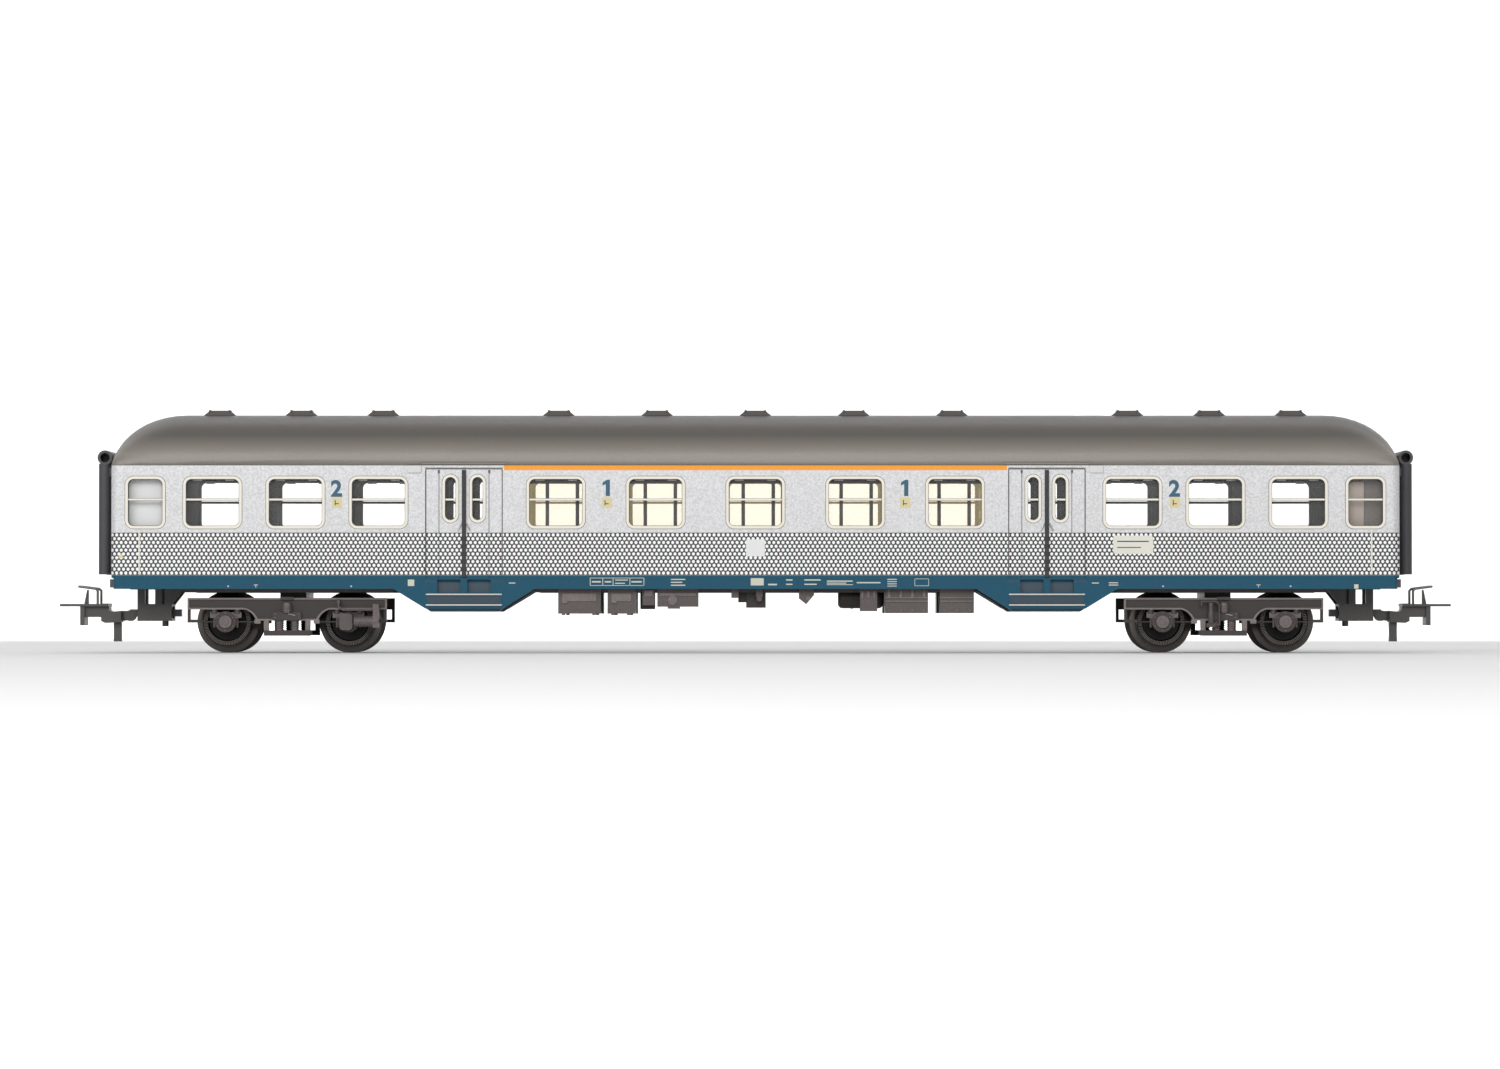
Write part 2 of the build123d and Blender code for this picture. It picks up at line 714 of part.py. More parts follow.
for name, end in ENDS.items():
    px = end * pivot_x
    axle_places = (px - wheelbase / 2, px + wheelbase / 2)
    with BuildPart() as bogie_frame:
        for side in SIDES.values():
            with BuildSketch(Plane.XZ.offset(-side * side_frame_in).move(Location((px, 0, 0)))):
                side_frame_outline(0)
            extrude(amount=-side * side_frame)
            with BuildSketch(Plane.XZ.offset(-side * frame_out).move(Location((px, 0, 0)))):
                side_frame_outline(frame_rim)
            extrude(amount=side * frame_pocket, mode=Mode.SUBTRACT)
            for x in axle_places:
                block(about(x, 3.2), to_side(side, side_frame_in, frame_out - 0.1),
                      (axle_z + 0.8, axle_z + 1.9))
                for spring in about(x, 2.33):
                    rod((spring, side * (side_frame_in + 0.6), axle_z + 1.7),
                        (spring, side * (side_frame_in + 0.6), beam_low + 0.3), 0.6)
                rod((x, side * side_frame_in, axle_z), (x, side * (frame_out + 0.4), axle_z),
                    box_radius)
                rod((x, side * frame_out, axle_z), (x, side * (frame_out + 0.9), axle_z),
                    cap_radius)
            for s in (-1, 1):
                rod_y = side * (side_frame_in + side_frame / 2)
                rod((px + s * (arch_end - 0.6), rod_y, axle_z), (px + s * 18.2, rod_y, axle_z),
                    tie_rod)
                block((px + s * 5.4, px + s * 6.6), to_side(side, side_frame_in, frame_out),
                      (axle_z - 0.35, frame_mid_low + 0.2))
                upright = (px + s * (side_frame_half - 0.6), px + s * side_frame_half)
                across = to_side(side, side_frame_in + 0.2, side_frame_in + 0.9)
                block(upright, across, (guard_low, frame_top))
                block((px + s * 17.6, px + s * side_frame_half), across,
                      (guard_low - 0.6, guard_low))
            block(about(px, 2.9), to_side(side, side_frame_in, frame_out + 0.5),
                  (frame_mid_low, rail + 7.1))
            rod((px, side * (frame_out + 0.1), rail + 7.0), (px, side * (frame_out + 0.1), rail + 9),
                0.9)
            block(about(px, 1.35), to_side(side, side_frame_in, frame_out + 0.3),
                  (rail + 9.6, rail + 10.2))
            for x in axle_places:
                rod((x, side * (side_frame_in - 0.5), axle_z),
                    (x, side * (journal_reach + 0.1), axle_z), journal_radius + bearing_clearance,
                    Mode.SUBTRACT)
        block(about(px, bolster_half), about(0, side_frame_in + 0.1), (bolster_low, frame_top - 0.1))
        block((px - end * bolster_half, px + end * 1.7), about(0, 9.6), (frame_top - 0.2, bolster_high))
        rod((px, 0, bolster_low - 1), (px, 0, bolster_high + 1), pivot_radius + pivot_clearance,
            Mode.SUBTRACT)
    parts[f"bogie_frame_{name}"] = bogie_frame

    with BuildPart() as spring_plank:
        block(about(px, plank_half - 1.4), about(0, side_frame_in), plank_z)
        for side in SIDES.values():
            block(about(px, plank_half), to_side(side, side_frame_in - 0.1, frame_out + 0.3), plank_z)
            for s in (-1, 1):
                block((px + s * 3.7, px + s * plank_half), to_side(side, side_frame_in, frame_out),
                      (plank_z[0], frame_mid_low))
                spring_y = side * (side_frame_in + side_frame / 2)
                rod((px + s * spring_x, spring_y, plank_z[1]),
                    (px + s * spring_x, spring_y, frame_mid_low), spring_radius)
    parts[f"spring_plank_{name}"] = spring_plank

generator_x = -pivot_x + wheelbase / 2
generator_y = -(frame_out + 0.9)
with BuildPart() as generator:
    with BuildSketch(Plane.XZ.offset(-generator_y)):
        with Locations((generator_x - 0.4, axle_z)):
            RectangleRounded(2.6, 3.4, 0.7)
    extrude(amount=1.0)
    body_y = generator_y - 0.75
    rod((generator_x + cap_radius + 0.05, body_y, axle_z + 0.1),
        (generator_x + 6.2, body_y, axle_z + 0.1), 1.0)
    for i in range(9):
        fin_x = generator_x + cap_radius + 0.15 + i * 0.44
        rod((fin_x, body_y, axle_z + 0.1), (fin_x + 0.2, body_y, axle_z + 0.1), 1.15)
    block((generator_x + 5.1, generator_x + 6.3), about(body_y, 0.9), (axle_z - 1.2, axle_z + 3.6))
    for start, stop in (((-1.9, 4.4), (-1.9, 3.0)), ((-1.9, 3.0), (-1.0, 2.4)),
                        ((-1.0, 2.4), (5.4, 2.4))):
        rod((generator_x + start[0], body_y, axle_z + start[1]),
            (generator_x + stop[0], body_y, axle_z + stop[1]), pipe_radius)
        with Locations((generator_x + start[0], body_y, axle_z + start[1])):
            Sphere(pipe_radius)
    block((generator_x - 2.2, generator_x - 1.6), (body_y - 0.2, -frame_out + frame_pocket),
          (axle_z + 3.7, axle_z + 4.3))
parts["generator"] = generator

with BuildPart() as damper:
    damper_x = pivot_x - 2.7
    damper_y = -(frame_out + 1.15)
    rod((damper_x, damper_y, rail + 4.8), (damper_x, damper_y, rail + 7.2), 0.6)
    rod((damper_x, damper_y, rail + 7.1), (damper_x, damper_y, rail + 8.9), 0.48)
    block(about(damper_x, 0.4), (damper_y, -frame_out + frame_pocket),
          (rail + 8.3, rail + 9.1))
    for start, stop in (((-1.9, 8.4), (-1.9, 9.3)), ((-1.9, 9.3), (1.1, 9.3)),
                        ((1.1, 9.3), (1.7, 8.6)), ((1.7, 8.6), (1.7, 4.6)),
                        ((1.7, 4.6), (-0.9, 4.3))):
        rod((damper_x + start[0], damper_y, rail + start[1]),
            (damper_x + stop[0], damper_y, rail + stop[1]), pipe_radius)
        with Locations((damper_x + start[0], damper_y, rail + start[1])):
            Sphere(pipe_radius)
    block((damper_x - 0.9, damper_x + 0.9), (damper_y - 0.3, -frame_out - 0.31),
          (rail + 4.05, rail + 4.85))
parts["damper"] = damper

# ==== wheelsets: an axle with journals and two flanged wheels
axle_order = [-pivot_x - wheelbase / 2, -pivot_x + wheelbase / 2,
              pivot_x - wheelbase / 2, pivot_x + wheelbase / 2]
wheel_in = back_to_back / 2
for number, x in enumerate(axle_order, start=1):
    with BuildPart() as axle:
        shoulder = side_frame_in - 0.15
        rod((x, -journal_reach, axle_z), (x, journal_reach, axle_z), journal_radius)
        rod((x, -shoulder, axle_z), (x, shoulder, axle_z), axle_radius)
    parts[f"axle_{number}"] = axle

    with BuildPart() as wheels:
        for side in SIDES.values():
            across = [wheel_in, wheel_in + flange_width, wheel_in + wheel_width]
            with BuildSketch(Plane.XY.offset(axle_z)):
                with BuildLine():
                    Polyline((x + axle_radius, side * across[0]),
                             (x + 1.9, side * across[0]),
                             (x + 2.1, side * (across[0] + 0.6)),
                             (x + 3.7, side * (across[0] + 0.6)),
                             (x + 3.9, side * across[0]),
                             (x + flange_radius - 0.25, side * across[0]),
                             (x + flange_radius, side * (across[0] + 0.25)),
                             (x + flange_radius, side * (across[0] + 0.45)),
                             (x + tread_radius + 0.15, side * across[1]),
                             (x + tread_radius, side * (across[1] + 0.2)),
                             (x + tread_radius - 0.05, side * (across[2] - 0.2)),
                             (x + tread_radius - 0.25, side * across[2]),
                             (x + 3.95, side * across[2]),
                             (x + 3.7, side * (across[2] - 1.2)),
                             (x + 2.1, side * (across[2] - 1.2)),
                             (x + 1.8, side * across[2]),
                             (x + axle_radius, side * across[2]), close=True)
                make_face()
            revolve(axis=Axis((x, 0, axle_z), (0, 1, 0)))
    parts[f"wheels_{number}"] = wheels

# ==== couplers: a guide under the floor, a swinging shank, a lifting head with its loop
head_top = [(5.8, 5.3), (5.8, 8.9), (4.2, 8.9), (4.2, 7.6), (3.6, 7.2)]


def beyond(end, start, *distances):
    """The two places at the given distances past start, towards an end of the coach."""
    return to_side(end, *(start + distance for distance in distances))


def head_outline(end, points):
    """Points in X and Z from distances past the head's pivot and heights over the rail."""
    return [(end * (head_pivot_x + x), rail + z) for x, z in points]


for name, end in ENDS.items():
    with BuildPart() as guide:
        inside = guide_half - guide_wall
        block(to_side(end, *guide_x), about(0, guide_half), guide_z)
        block(to_side(end, guide_x[0] + guide_wall, guide_x[1] + 1), about(0, inside),
              (guide_z[0] + guide_wall, guide_z[1] - guide_wall), Mode.SUBTRACT)
        block(to_side(end, guide_x[0] - 1, guide_x[1]), about(0, inside - 1.0),
              (guide_z[0] + guide_wall, guide_z[1] - guide_wall), Mode.SUBTRACT)
        rod((end * swing_x, 0, guide_z[0]), (end * swing_x, 0, guide_z[1]),
            swing_pin + bearing_clearance, Mode.SUBTRACT)
        for post in ((2.0, 3.4), (5.5, 7.0)):
            for side in SIDES.values():
                block(beyond(end, guide_x[0], *post), to_side(side, guide_half - 1.6, guide_half),
                      (guide_z[1], plate_low))
        for side in SIDES.values():
            slab([(end * (guide_x[0] + 1.5), guide_z[1] - 0.2), (end * guide_x[0], guide_z[1] - 0.2),
                  (end * (guide_x[0] - 2.8), plate_low), (end * (guide_x[0] + 1.5), plate_low)],
                 to_side(side, guide_half - 0.8, guide_half))
    parts[f"coupler_guide_{name}"] = guide

    with BuildPart() as shank:
        fork_x = guide_x[1] + 0.25
        fork_in = fork_gap / 2 + coupler_clearance
        block(to_side(end, shank_end, fork_x + 0.1), about(0, shank_half), shank_z)
        rod((end * swing_x, 0, rail + 4.2), (end * swing_x, 0, guide_z[1] - 0.1), swing_pin)
        for side in SIDES.values():
            block(to_side(end, fork_x, head_pivot_x), to_side(side, fork_in, fork_in + 0.8),
                  shank_z)
            rod((end * head_pivot_x, side * fork_in, head_pivot_z),
                (end * head_pivot_x, side * (fork_in + 0.8), head_pivot_z), eye_radius)
        block(to_side(end, fork_x, fork_x + 0.35), about(0, fork_in + 0.8), shank_z)
        rod((end * head_pivot_x, -fork_gap / 2 - coupler_clearance - 0.5, head_pivot_z),
            (end * head_pivot_x, fork_gap / 2 + coupler_clearance + 0.5, head_pivot_z), head_pin)
    parts[f"coupler_shank_{name}"] = shank

    with BuildPart() as head:
        arm = about(0, fork_gap / 2)
        rod((end * head_pivot_x, -fork_gap / 2, head_pivot_z),
            (end * head_pivot_x, fork_gap / 2, head_pivot_z), eye_radius - 0.1)
        slab(head_outline(end, [(0, 5.5), (5.0, 4.9), *head_top, (1.7, 7.4), (0.4, 7.35)]), arm)
        for side in SIDES.values():
            slab(head_outline(end, [(1.7, 5.1), (5.0, 4.9), *head_top, (1.7, 7.4)]),
                 to_side(side, fork_gap / 2, 2.4))
        block(beyond(end, head_pivot_x, 5.8, 9.2), about(0, 2.4), (rail + 6.1, rail + 8.3))
        block(beyond(end, head_pivot_x, 9.1, 10.0), about(0, 3.2), (rail + 4.4, rail + 8.3))
        block(beyond(end, head_pivot_x, 4.2, 14.1), about(0, 3.6), (rail + 8.3, rail + 8.8))
        block(beyond(end, head_pivot_x, 10.4, 13.4), about(0, 2.3), (rail + 8, rail + 9),
              Mode.SUBTRACT)
        slab(head_outline(end, [(8.6, 8.7), (9.5, 8.7), (8.9, 11.7), (8.6, 11.7)]), about(0, 0.5))
        block(beyond(end, head_pivot_x, 1.8, 3.4), about(0, 0.75), (rail + 1.1, rail + 5.4))
        rod((end * head_pivot_x, -fork_gap, head_pivot_z), (end * head_pivot_x, fork_gap, head_pivot_z),
            head_pin + bearing_clearance, Mode.SUBTRACT)
    parts[f"coupler_head_{name}"] = head

    with BuildPart() as loop:
        path = head_outline(end, [(6.4, 8.8), (6.4, 11.5), (6.8, 11.9), (10.2, 12.35)])
        for side in SIDES.values():
            for (x, z), (next_x, next_z) in zip(path, path[1:]):
                rod((x, side * loop_half, z), (next_x, side * loop_half, next_z), loop_wire)
                with Locations((next_x, side * loop_half, next_z)):
                    Sphere(loop_wire)
        x, z = path[-1]
        rod((x, -loop_half, z), (x, loop_half, z), loop_wire)
    parts[f"coupler_loop_{name}"] = loop

    with BuildPart() as spring:
        block(to_side(end, swing_x + 1.35, guide_x[1] - 0.2), (-shank_half - 0.2, -shank_half),
              (shank_z[0] + 0.3, shank_z[1] - 0.3))
    parts[f"coupler_spring_{name}"] = spring

os.makedirs("parts", exist_ok=True)
for label, piece in parts.items():
    piece.part.label = label
    export_step(piece.part, f"parts/{label}.step")
print(len(parts), "pieces")
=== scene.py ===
"""Looks of a model passenger coach in H0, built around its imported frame.

Laid out as an add-on with an operator for each group of pieces, and run as a script.
"""
import json
import math

import bmesh
import bpy
from bpy.props import FloatProperty, FloatVectorProperty, PointerProperty
from mathutils import Matrix, Vector
from mathutils.bvhtree import BVHTree


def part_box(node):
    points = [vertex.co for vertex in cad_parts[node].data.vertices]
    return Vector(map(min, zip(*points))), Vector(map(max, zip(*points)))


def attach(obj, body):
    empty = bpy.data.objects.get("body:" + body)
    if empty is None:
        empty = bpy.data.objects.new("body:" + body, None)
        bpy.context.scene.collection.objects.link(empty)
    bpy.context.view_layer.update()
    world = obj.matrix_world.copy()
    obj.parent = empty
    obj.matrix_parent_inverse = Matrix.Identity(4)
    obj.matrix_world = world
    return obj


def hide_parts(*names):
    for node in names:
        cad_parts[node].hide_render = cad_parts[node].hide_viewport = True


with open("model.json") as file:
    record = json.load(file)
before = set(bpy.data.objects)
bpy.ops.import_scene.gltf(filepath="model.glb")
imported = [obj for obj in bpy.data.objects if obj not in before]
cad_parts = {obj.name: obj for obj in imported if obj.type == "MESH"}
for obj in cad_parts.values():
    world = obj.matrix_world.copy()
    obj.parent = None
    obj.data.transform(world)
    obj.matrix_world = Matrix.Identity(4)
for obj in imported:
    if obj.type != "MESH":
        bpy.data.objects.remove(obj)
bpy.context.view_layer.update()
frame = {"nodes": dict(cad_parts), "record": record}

bl_info = {
    "name": "Model Coach Looks",
    "version": (1, 0, 0),
    "blender": (4, 5, 0),
    "location": "3D View > Sidebar > Coach",
    "description": "Finishes, marks and fine detail for a model passenger coach",
    "category": "Object",
}

MM = 0.001
shell_low, shell_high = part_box("body_shell")
SILL = shell_low.z
HALF_WIDTH = shell_high.y
HALF_LENGTH = shell_high.x
RAIL = SILL - 14 * MM            # rail top over the lowest point of the flanges
SIDES = (-1, 1)


# ---- sizes and colours that a user would change
class CoachSizes(bpy.types.PropertyGroup):
    """Sizes of the printed and painted work."""
    disc_pitch: FloatProperty(name="Disc pitch", description="Spacing of the discs along the side",
                              default=0.93 * MM, unit="LENGTH")
    row_pitch: FloatProperty(name="Row pitch", description="Spacing of the rows of discs",
                             default=0.77 * MM, unit="LENGTH")
    disc_rows_low: FloatProperty(name="Pattern bottom", description="Lower edge of the disc rows",
                                 default=RAIL + 14.65 * MM, unit="LENGTH")
    disc_rows_high: FloatProperty(name="Pattern top", description="Upper edge of the disc rows",
                                  default=RAIL + 23.2 * MM, unit="LENGTH")
    stripe_half: FloatProperty(name="Stripe reach", description="Half length of the class stripe",
                               default=50.9 * MM, unit="LENGTH")
    stripe_low: FloatProperty(name="Stripe bottom", description="Lower edge of the class stripe",
                              default=RAIL + 35.85 * MM, unit="LENGTH")
    edge: FloatProperty(name="Edge rounding", description="Rounding of moulded edges",
                        default=0.09 * MM, unit="LENGTH")


def paint(label, default):
    """A colour property with the usual settings."""
    return FloatVectorProperty(name=label, description=f"Colour of the {label.lower()}", size=3,
                               subtype="COLOR", min=0, max=1, default=default)


class CoachColours(bpy.types.PropertyGroup):
    """Linear colours of the finishes."""
    silver: paint("Silver sides", (0.64, 0.64, 0.65))
    silver_dark: paint("Lines between the discs", (0.055, 0.05, 0.045))
    blue: paint("Blue lower edge", (0.008, 0.07, 0.115))
    stripe: paint("Class stripe", (0.85, 0.33, 0.04))
    roof: paint("Roof", (0.118, 0.106, 0.093))
    cream: paint("Window frames", (0.78, 0.74, 0.65))
    dark: paint("Running gear", (0.066, 0.056, 0.053))
    numeral: paint("Class numerals", (0.022, 0.095, 0.155))
    yellow: paint("Compartment signs", (0.64, 0.56, 0.30))


# ---- shader building
class Number:
    """A number socket of a finish in the making; arithmetic on it adds Math nodes."""

    def __init__(self, finish, socket):
        self.finish = finish
        self.socket = socket

    def maths(self, operation, *others):
        """A Math node on this number and the others."""
        inputs = dict(enumerate((self, *others)))
        made = self.finish.node("ShaderNodeMath", {"operation": operation}, inputs)
        return Number(self.finish, made.outputs[0])

    def __add__(self, other):
        return self.maths("ADD", other)

    __radd__ = __add__

    def __sub__(self, other):
        return self.maths("SUBTRACT", other)

    def __rsub__(self, other):
        return (self * -1).maths("ADD", other)

    def __mul__(self, other):
        return self.maths("MULTIPLY", other)

    __rmul__ = __mul__

    def __truediv__(self, other):
        return self.maths("DIVIDE", other)

    def __lt__(self, other):
        return self.maths("LESS_THAN", other)

    def __gt__(self, other):
        return self.maths("GREATER_THAN", other)

    def __abs__(self):
        return self.maths("ABSOLUTE")

    def least(self, other):
        """The smaller of this and another number."""
        return self.maths("MINIMUM", other)

    def root(self):
        """The square root."""
        return self.maths("SQRT")

    def from_cell(self, pitch, shift=0.0):
        """Distance from the nearest of evenly spaced places."""
        cell = self / pitch + shift
        return (cell - cell.maths("ROUND")) * pitch

    def ramp(self, low, high):
        """A soft step from 0 at low to 1 at high."""
        made = self.finish.node("ShaderNodeMapRange", {"interpolation_type": "SMOOTHSTEP"},
                                {"Value": self, "From Min": low, "From Max": high})
        return Number(self.finish, made.outputs["Result"])


def shaded(colour, factor):
    """A colour made darker or lighter."""
    return tuple(min(1.0, channel * factor) for channel in colour)


def opaque(colour):
    """A colour with a full alpha; a socket is passed on as it is."""
    return (*colour[:3], 1.0) if hasattr(colour, "__len__") else colour


class Finish:
    """A material in the making, on one Principled shader."""

    def __init__(self, name, roughness=0.5, metallic=0.0, **constants):
        self.material = bpy.data.materials.new(name)
        self.material.use_nodes = True
        self.tree = self.material.node_tree
        self.shader = self.tree.nodes["Principled BSDF"]
        self.shader.inputs["Roughness"].default_value = roughness
        self.shader.inputs["Metallic"].default_value = metallic
        for label, value in constants.items():
            self.shader.inputs[label.replace("_", " ")].default_value = value
        self.coordinates = self.node("ShaderNodeTexCoord").outputs["Object"]
        self.place = self.split(self.coordinates)

    def node(self, kind, settings=None, inputs=None):
        """A new node: its settings or a ramp's stops first, then its sockets' values or links."""
        made = self.tree.nodes.new(kind)
        settings = dict(settings or {})
        stops = settings.pop("stops", ())
        for name, value in settings.items():
            setattr(made, name, value)
        while stops and len(made.color_ramp.elements) < len(stops):
            made.color_ramp.elements.new(0.5)
        for number, (place, colour) in enumerate(stops):
            made.color_ramp.elements[number].position = place
            made.color_ramp.elements[number].color = opaque(colour)
        for name, value in (inputs or {}).items():
            value = getattr(value, "socket", value)
            if isinstance(value, bpy.types.NodeSocket):
                self.tree.links.new(value, made.inputs[name])
            else:
                made.inputs[name].default_value = value
        return made

    def split(self, vector):
        """The X, Y and Z of a vector, as numbers."""
        made = self.node("ShaderNodeSeparateXYZ", None, {"Vector": vector})
        return [Number(self, socket) for socket in made.outputs]

    def noise(self, size, detail=2.0, stretch=(1, 1, 1)):
        """Noise whose grains are about size metres across."""
        where = self.node("ShaderNodeMapping", None,
                          {"Vector": self.coordinates, "Scale": [1 / s for s in stretch]})
        made = self.node("ShaderNodeTexNoise", None,
                         {"Vector": where.outputs[0], "Scale": 1 / size, "Detail": detail})
        return Number(self, made.outputs["Fac"])

    def mix(self, factor, first, second):
        """A colour that goes from first to second with the factor."""
        made = self.node("ShaderNodeMix", {"data_type": "RGBA"},
                         {0: factor, 6: opaque(first), 7: opaque(second)})
        return made.outputs[2]

    def layers(self, value, stops):
        """A colour read along a number from 0 to 1; stops are pairs of a place and a colour."""
        made = self.node("ShaderNodeValToRGB", {"stops": stops}, {"Fac": value})
        return made.outputs["Color"]

    def colour(self, value):
        """Sets or links the base colour."""
        self.feed("Base Color", opaque(value))

    def feed(self, label, value):
        """Sets or links a socket of the shader."""
        value = getattr(value, "socket", value)
        socket = self.shader.inputs[label]
        if isinstance(value, bpy.types.NodeSocket):
            self.tree.links.new(value, socket)
        else:
            socket.default_value = value

    def relief(self, height, depth, strength=1.0):
        """Bumps the surface by a height from 0 to 1, depth metres deep."""
        made = self.node("ShaderNodeBump", None,
                         {"Height": height, "Distance": depth, "Strength": strength})
        self.feed("Normal", made.outputs["Normal"])

    def mottled(self, base, spread=0.12, size=0.6 * MM):
        """A base colour with fine grain and a slow drift, and matching roughness."""
        grain = self.noise(size, 3.0)
        drift = self.noise(18 * MM, 2.0)
        self.colour(self.mix((grain + drift) * 0.5, shaded(base, 1 - spread),
                             shaded(base, 1 + spread)))
        return grain


def moulded(name, base, roughness, spread=0.14, depth=0.012 * MM, **constants):
    """Moulded and sprayed plastic: fine grain, slight drift, soft relief."""
    finish = Finish(name, roughness=roughness, **constants)
    grain = finish.mottled(base, spread)
    finish.feed("Roughness", grain.ramp(0.2, 0.8) * 0.16 + (roughness - 0.08))
    finish.relief(finish.noise(0.12 * MM, 2.0), depth, 0.6)
    return finish.material


def painted_depth_light(name, base, roughness, depths):
    """Moulded running gear with painted light: depths give, from the middle outwards, how pale
    each layer is, as painted shade deep in and painted highlights on the outer faces and rims.
    """
    finish = Finish(name, roughness=roughness, Specular_IOR_Level=0.25)
    inner, outer = depths[0][0], depths[-1][0]
    # painted light by depth: the darker layers deep in are painted shade, the paler ones further
    # out painted highlights
    layered = finish.layers((abs(finish.place[1]) - inner) / (outer - inner),
                            [((depth - inner) / (outer - inner), shaded(base, pale))
                             for depth, pale in depths])
    grain = finish.noise(0.5 * MM, 3.0)
    drift = finish.noise(7 * MM, 2.0)
    finish.colour(finish.mix((grain * 0.6 + drift * 0.4).ramp(0.35, 0.65) * 0.3,
                             layered, shaded(base, 0.7)))
    finish.feed("Roughness", grain * 0.2 + (roughness - 0.1))
    finish.relief(grain, 0.015 * MM, 0.6)
    return finish.material


DISC_EDGE = (0.28 * MM, 0.34 * MM)       # where a disc's edge and the dark line round it fade
LINE_INNER = (0.30 * MM, 0.36 * MM)
LINE_OUTER = (0.47 * MM, 0.54 * MM)


def silver_sides(name, sizes, colours):
    """Grained silver with the rows of bright discs, the blue edge and the class stripe."""
    finish = Finish(name, roughness=0.42, metallic=0.2, Specular_IOR_Level=0.25)
    x, y, z = finish.place
    on_end = abs(x) > HALF_LENGTH - 0.2 * MM
    along = x * (1 - on_end) + (y + HALF_LENGTH) * on_end
    up = z - sizes.disc_rows_low
    nearest = None
    for shift in (0.0, 0.5):
        across = along.from_cell(sizes.disc_pitch, shift)
        height = up.from_cell(2 * sizes.row_pitch, shift - 0.25)
        distance = (across * across + height * height * 0.86).root()
        nearest = distance if nearest is None else nearest.least(distance)
    disc = 1 - nearest.ramp(*DISC_EDGE)
    line = nearest.ramp(*LINE_INNER) * (1 - nearest.ramp(*LINE_OUTER))
    rows = (z > sizes.disc_rows_low) * (z < sizes.disc_rows_high)
    grain = finish.noise(0.34 * MM, 3.0)
    drift = finish.noise(30 * MM, 2.0)
    plain = finish.mix(grain.ramp(0.25, 0.75), shaded(colours.silver, 0.8),
                       shaded(colours.silver, 1.13))
    plain = finish.mix(drift * 0.3, plain, shaded(colours.silver, 0.93))
    between = finish.mix(line, (0.12, 0.112, 0.107), colours.silver_dark)
    pattern = finish.mix(disc, between, (0.86, 0.87, 0.88))
    colour = finish.mix(rows, plain, pattern)
    stripe = (z > sizes.stripe_low) * (abs(x) < sizes.stripe_half)
    colour = finish.mix(stripe, colour, finish.mix(grain, shaded(colours.stripe, 0.94),
                                                   shaded(colours.stripe, 1.06)))
    edge = z < sizes.disc_rows_low - 0.05 * MM
    colour = finish.mix(edge, colour, finish.mix(grain, shaded(colours.blue, 0.85),
                                                 shaded(colours.blue, 1.25)))
    inside = (abs(y) < HALF_WIDTH - 1.1 * MM) * (1 - on_end)
    finish.colour(finish.mix(inside, colour, (0.10, 0.10, 0.105)))
    finish.feed("Metallic", (1 - edge) * (1 - stripe) * 0.22)
    finish.feed("Roughness", grain * 0.18 + 0.32 + rows * (1 - disc) * 0.2)
    finish.relief((disc * rows * 0.7 + grain * 0.12) * (1 - inside), 0.05 * MM, 0.7)
    return finish.material


def roof_grey(name, colours):
    """Roof paint, paler over the eaves as a painted sheen and darker along the top as painted
    shade.
    """
    finish = Finish(name, roughness=0.42, Specular_IOR_Level=0.6)
    low, high = (corner.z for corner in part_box("roof"))
    # how pale the roof is from the eaves up: a painted sheen low on the shoulders, painted shade
    # along the top
    painted_light_by_height = ((0.0, 1.4), (0.28, 2.15), (0.45, 1.6), (0.62, 0.92), (1.0, 0.5))
    layered = finish.layers((finish.place[2] - low) / (high - low),
                            [(place, shaded(colours.roof, pale)) for place, pale in painted_light_by_height])
    grain = finish.noise(0.4 * MM, 3.0)
    drift = finish.noise(20 * MM, 2.0, (3, 1, 1))
    finish.colour(finish.mix((grain * 0.5 + drift * 0.5).ramp(0.3, 0.7) * 0.16,
                             layered, shaded(colours.roof, 0.6)))
    finish.feed("Roughness", grain * 0.14 + 0.36)
    finish.relief(grain, 0.006 * MM, 0.6)
    return finish.material


def plain_blue(name, colours):
    """Satin blue of the skirts and step wells."""
    finish = Finish(name, roughness=0.38, Specular_IOR_Level=0.2)
    grain = finish.noise(0.4 * MM, 3.0)
    drift = finish.noise(60 * MM, 2.0, (1, 1, 4))
    base = finish.mix(grain, shaded(colours.blue, 0.9), shaded(colours.blue, 1.25))
    finish.colour(finish.mix(drift * 0.5, base, (0.018, 0.085, 0.15)))
    finish.feed("Roughness", grain * 0.14 + 0.3)
    finish.relief(grain, 0.01 * MM, 0.5)
    return finish.material


def clear(name, tint, warm=None):
    """Clear moulded plastic, with a warm tint over the first class where one is given, and a
    painted glow of the same colour there.
    """
    finish = Finish(name, roughness=0.04, Coat_Weight=0.3)
    haze = finish.noise(9 * MM, 2.0)
    alpha = haze * 0.04 + 0.03
    colour = finish.mix(haze, tint, shaded(tint, 0.97))
    if warm:
        first_class = abs(finish.place[0]) < 52 * MM
        colour = finish.mix(first_class, colour, warm)
        alpha = alpha + first_class * 0.25
        # painted glow: the first-class panes give off light in their tint, though no lamp is
        # behind them
        finish.feed("Emission Color", finish.mix(first_class, (0.0, 0.0, 0.0), warm))
        finish.feed("Emission Strength", 0.61)
    finish.colour(colour)
    finish.feed("Alpha", alpha)
    finish.feed("Roughness", haze * 0.04 + 0.03)
    return finish.material


def bright_steel(name, shade=0.55, roughness=0.3):
    """Turned or drawn steel with fine streaks."""
    finish = Finish(name, roughness=roughness, metallic=1.0)
    streak = finish.noise(0.25 * MM, 3.0, (6, 1, 1))
    finish.colour(finish.mix(streak, shaded((shade,) * 3, 0.8), shaded((shade,) * 3, 1.15)))
    finish.feed("Roughness", streak * 0.2 + (roughness - 0.1))
    finish.relief(streak, 0.006 * MM, 0.5)
    return finish.material


RING_START = (3.86 * MM, 3.92 * MM)      # radii over which the wheel's finishes change
RING_END = (4.78 * MM, 4.84 * MM)
TREAD_START = (4.96 * MM, 5.02 * MM)


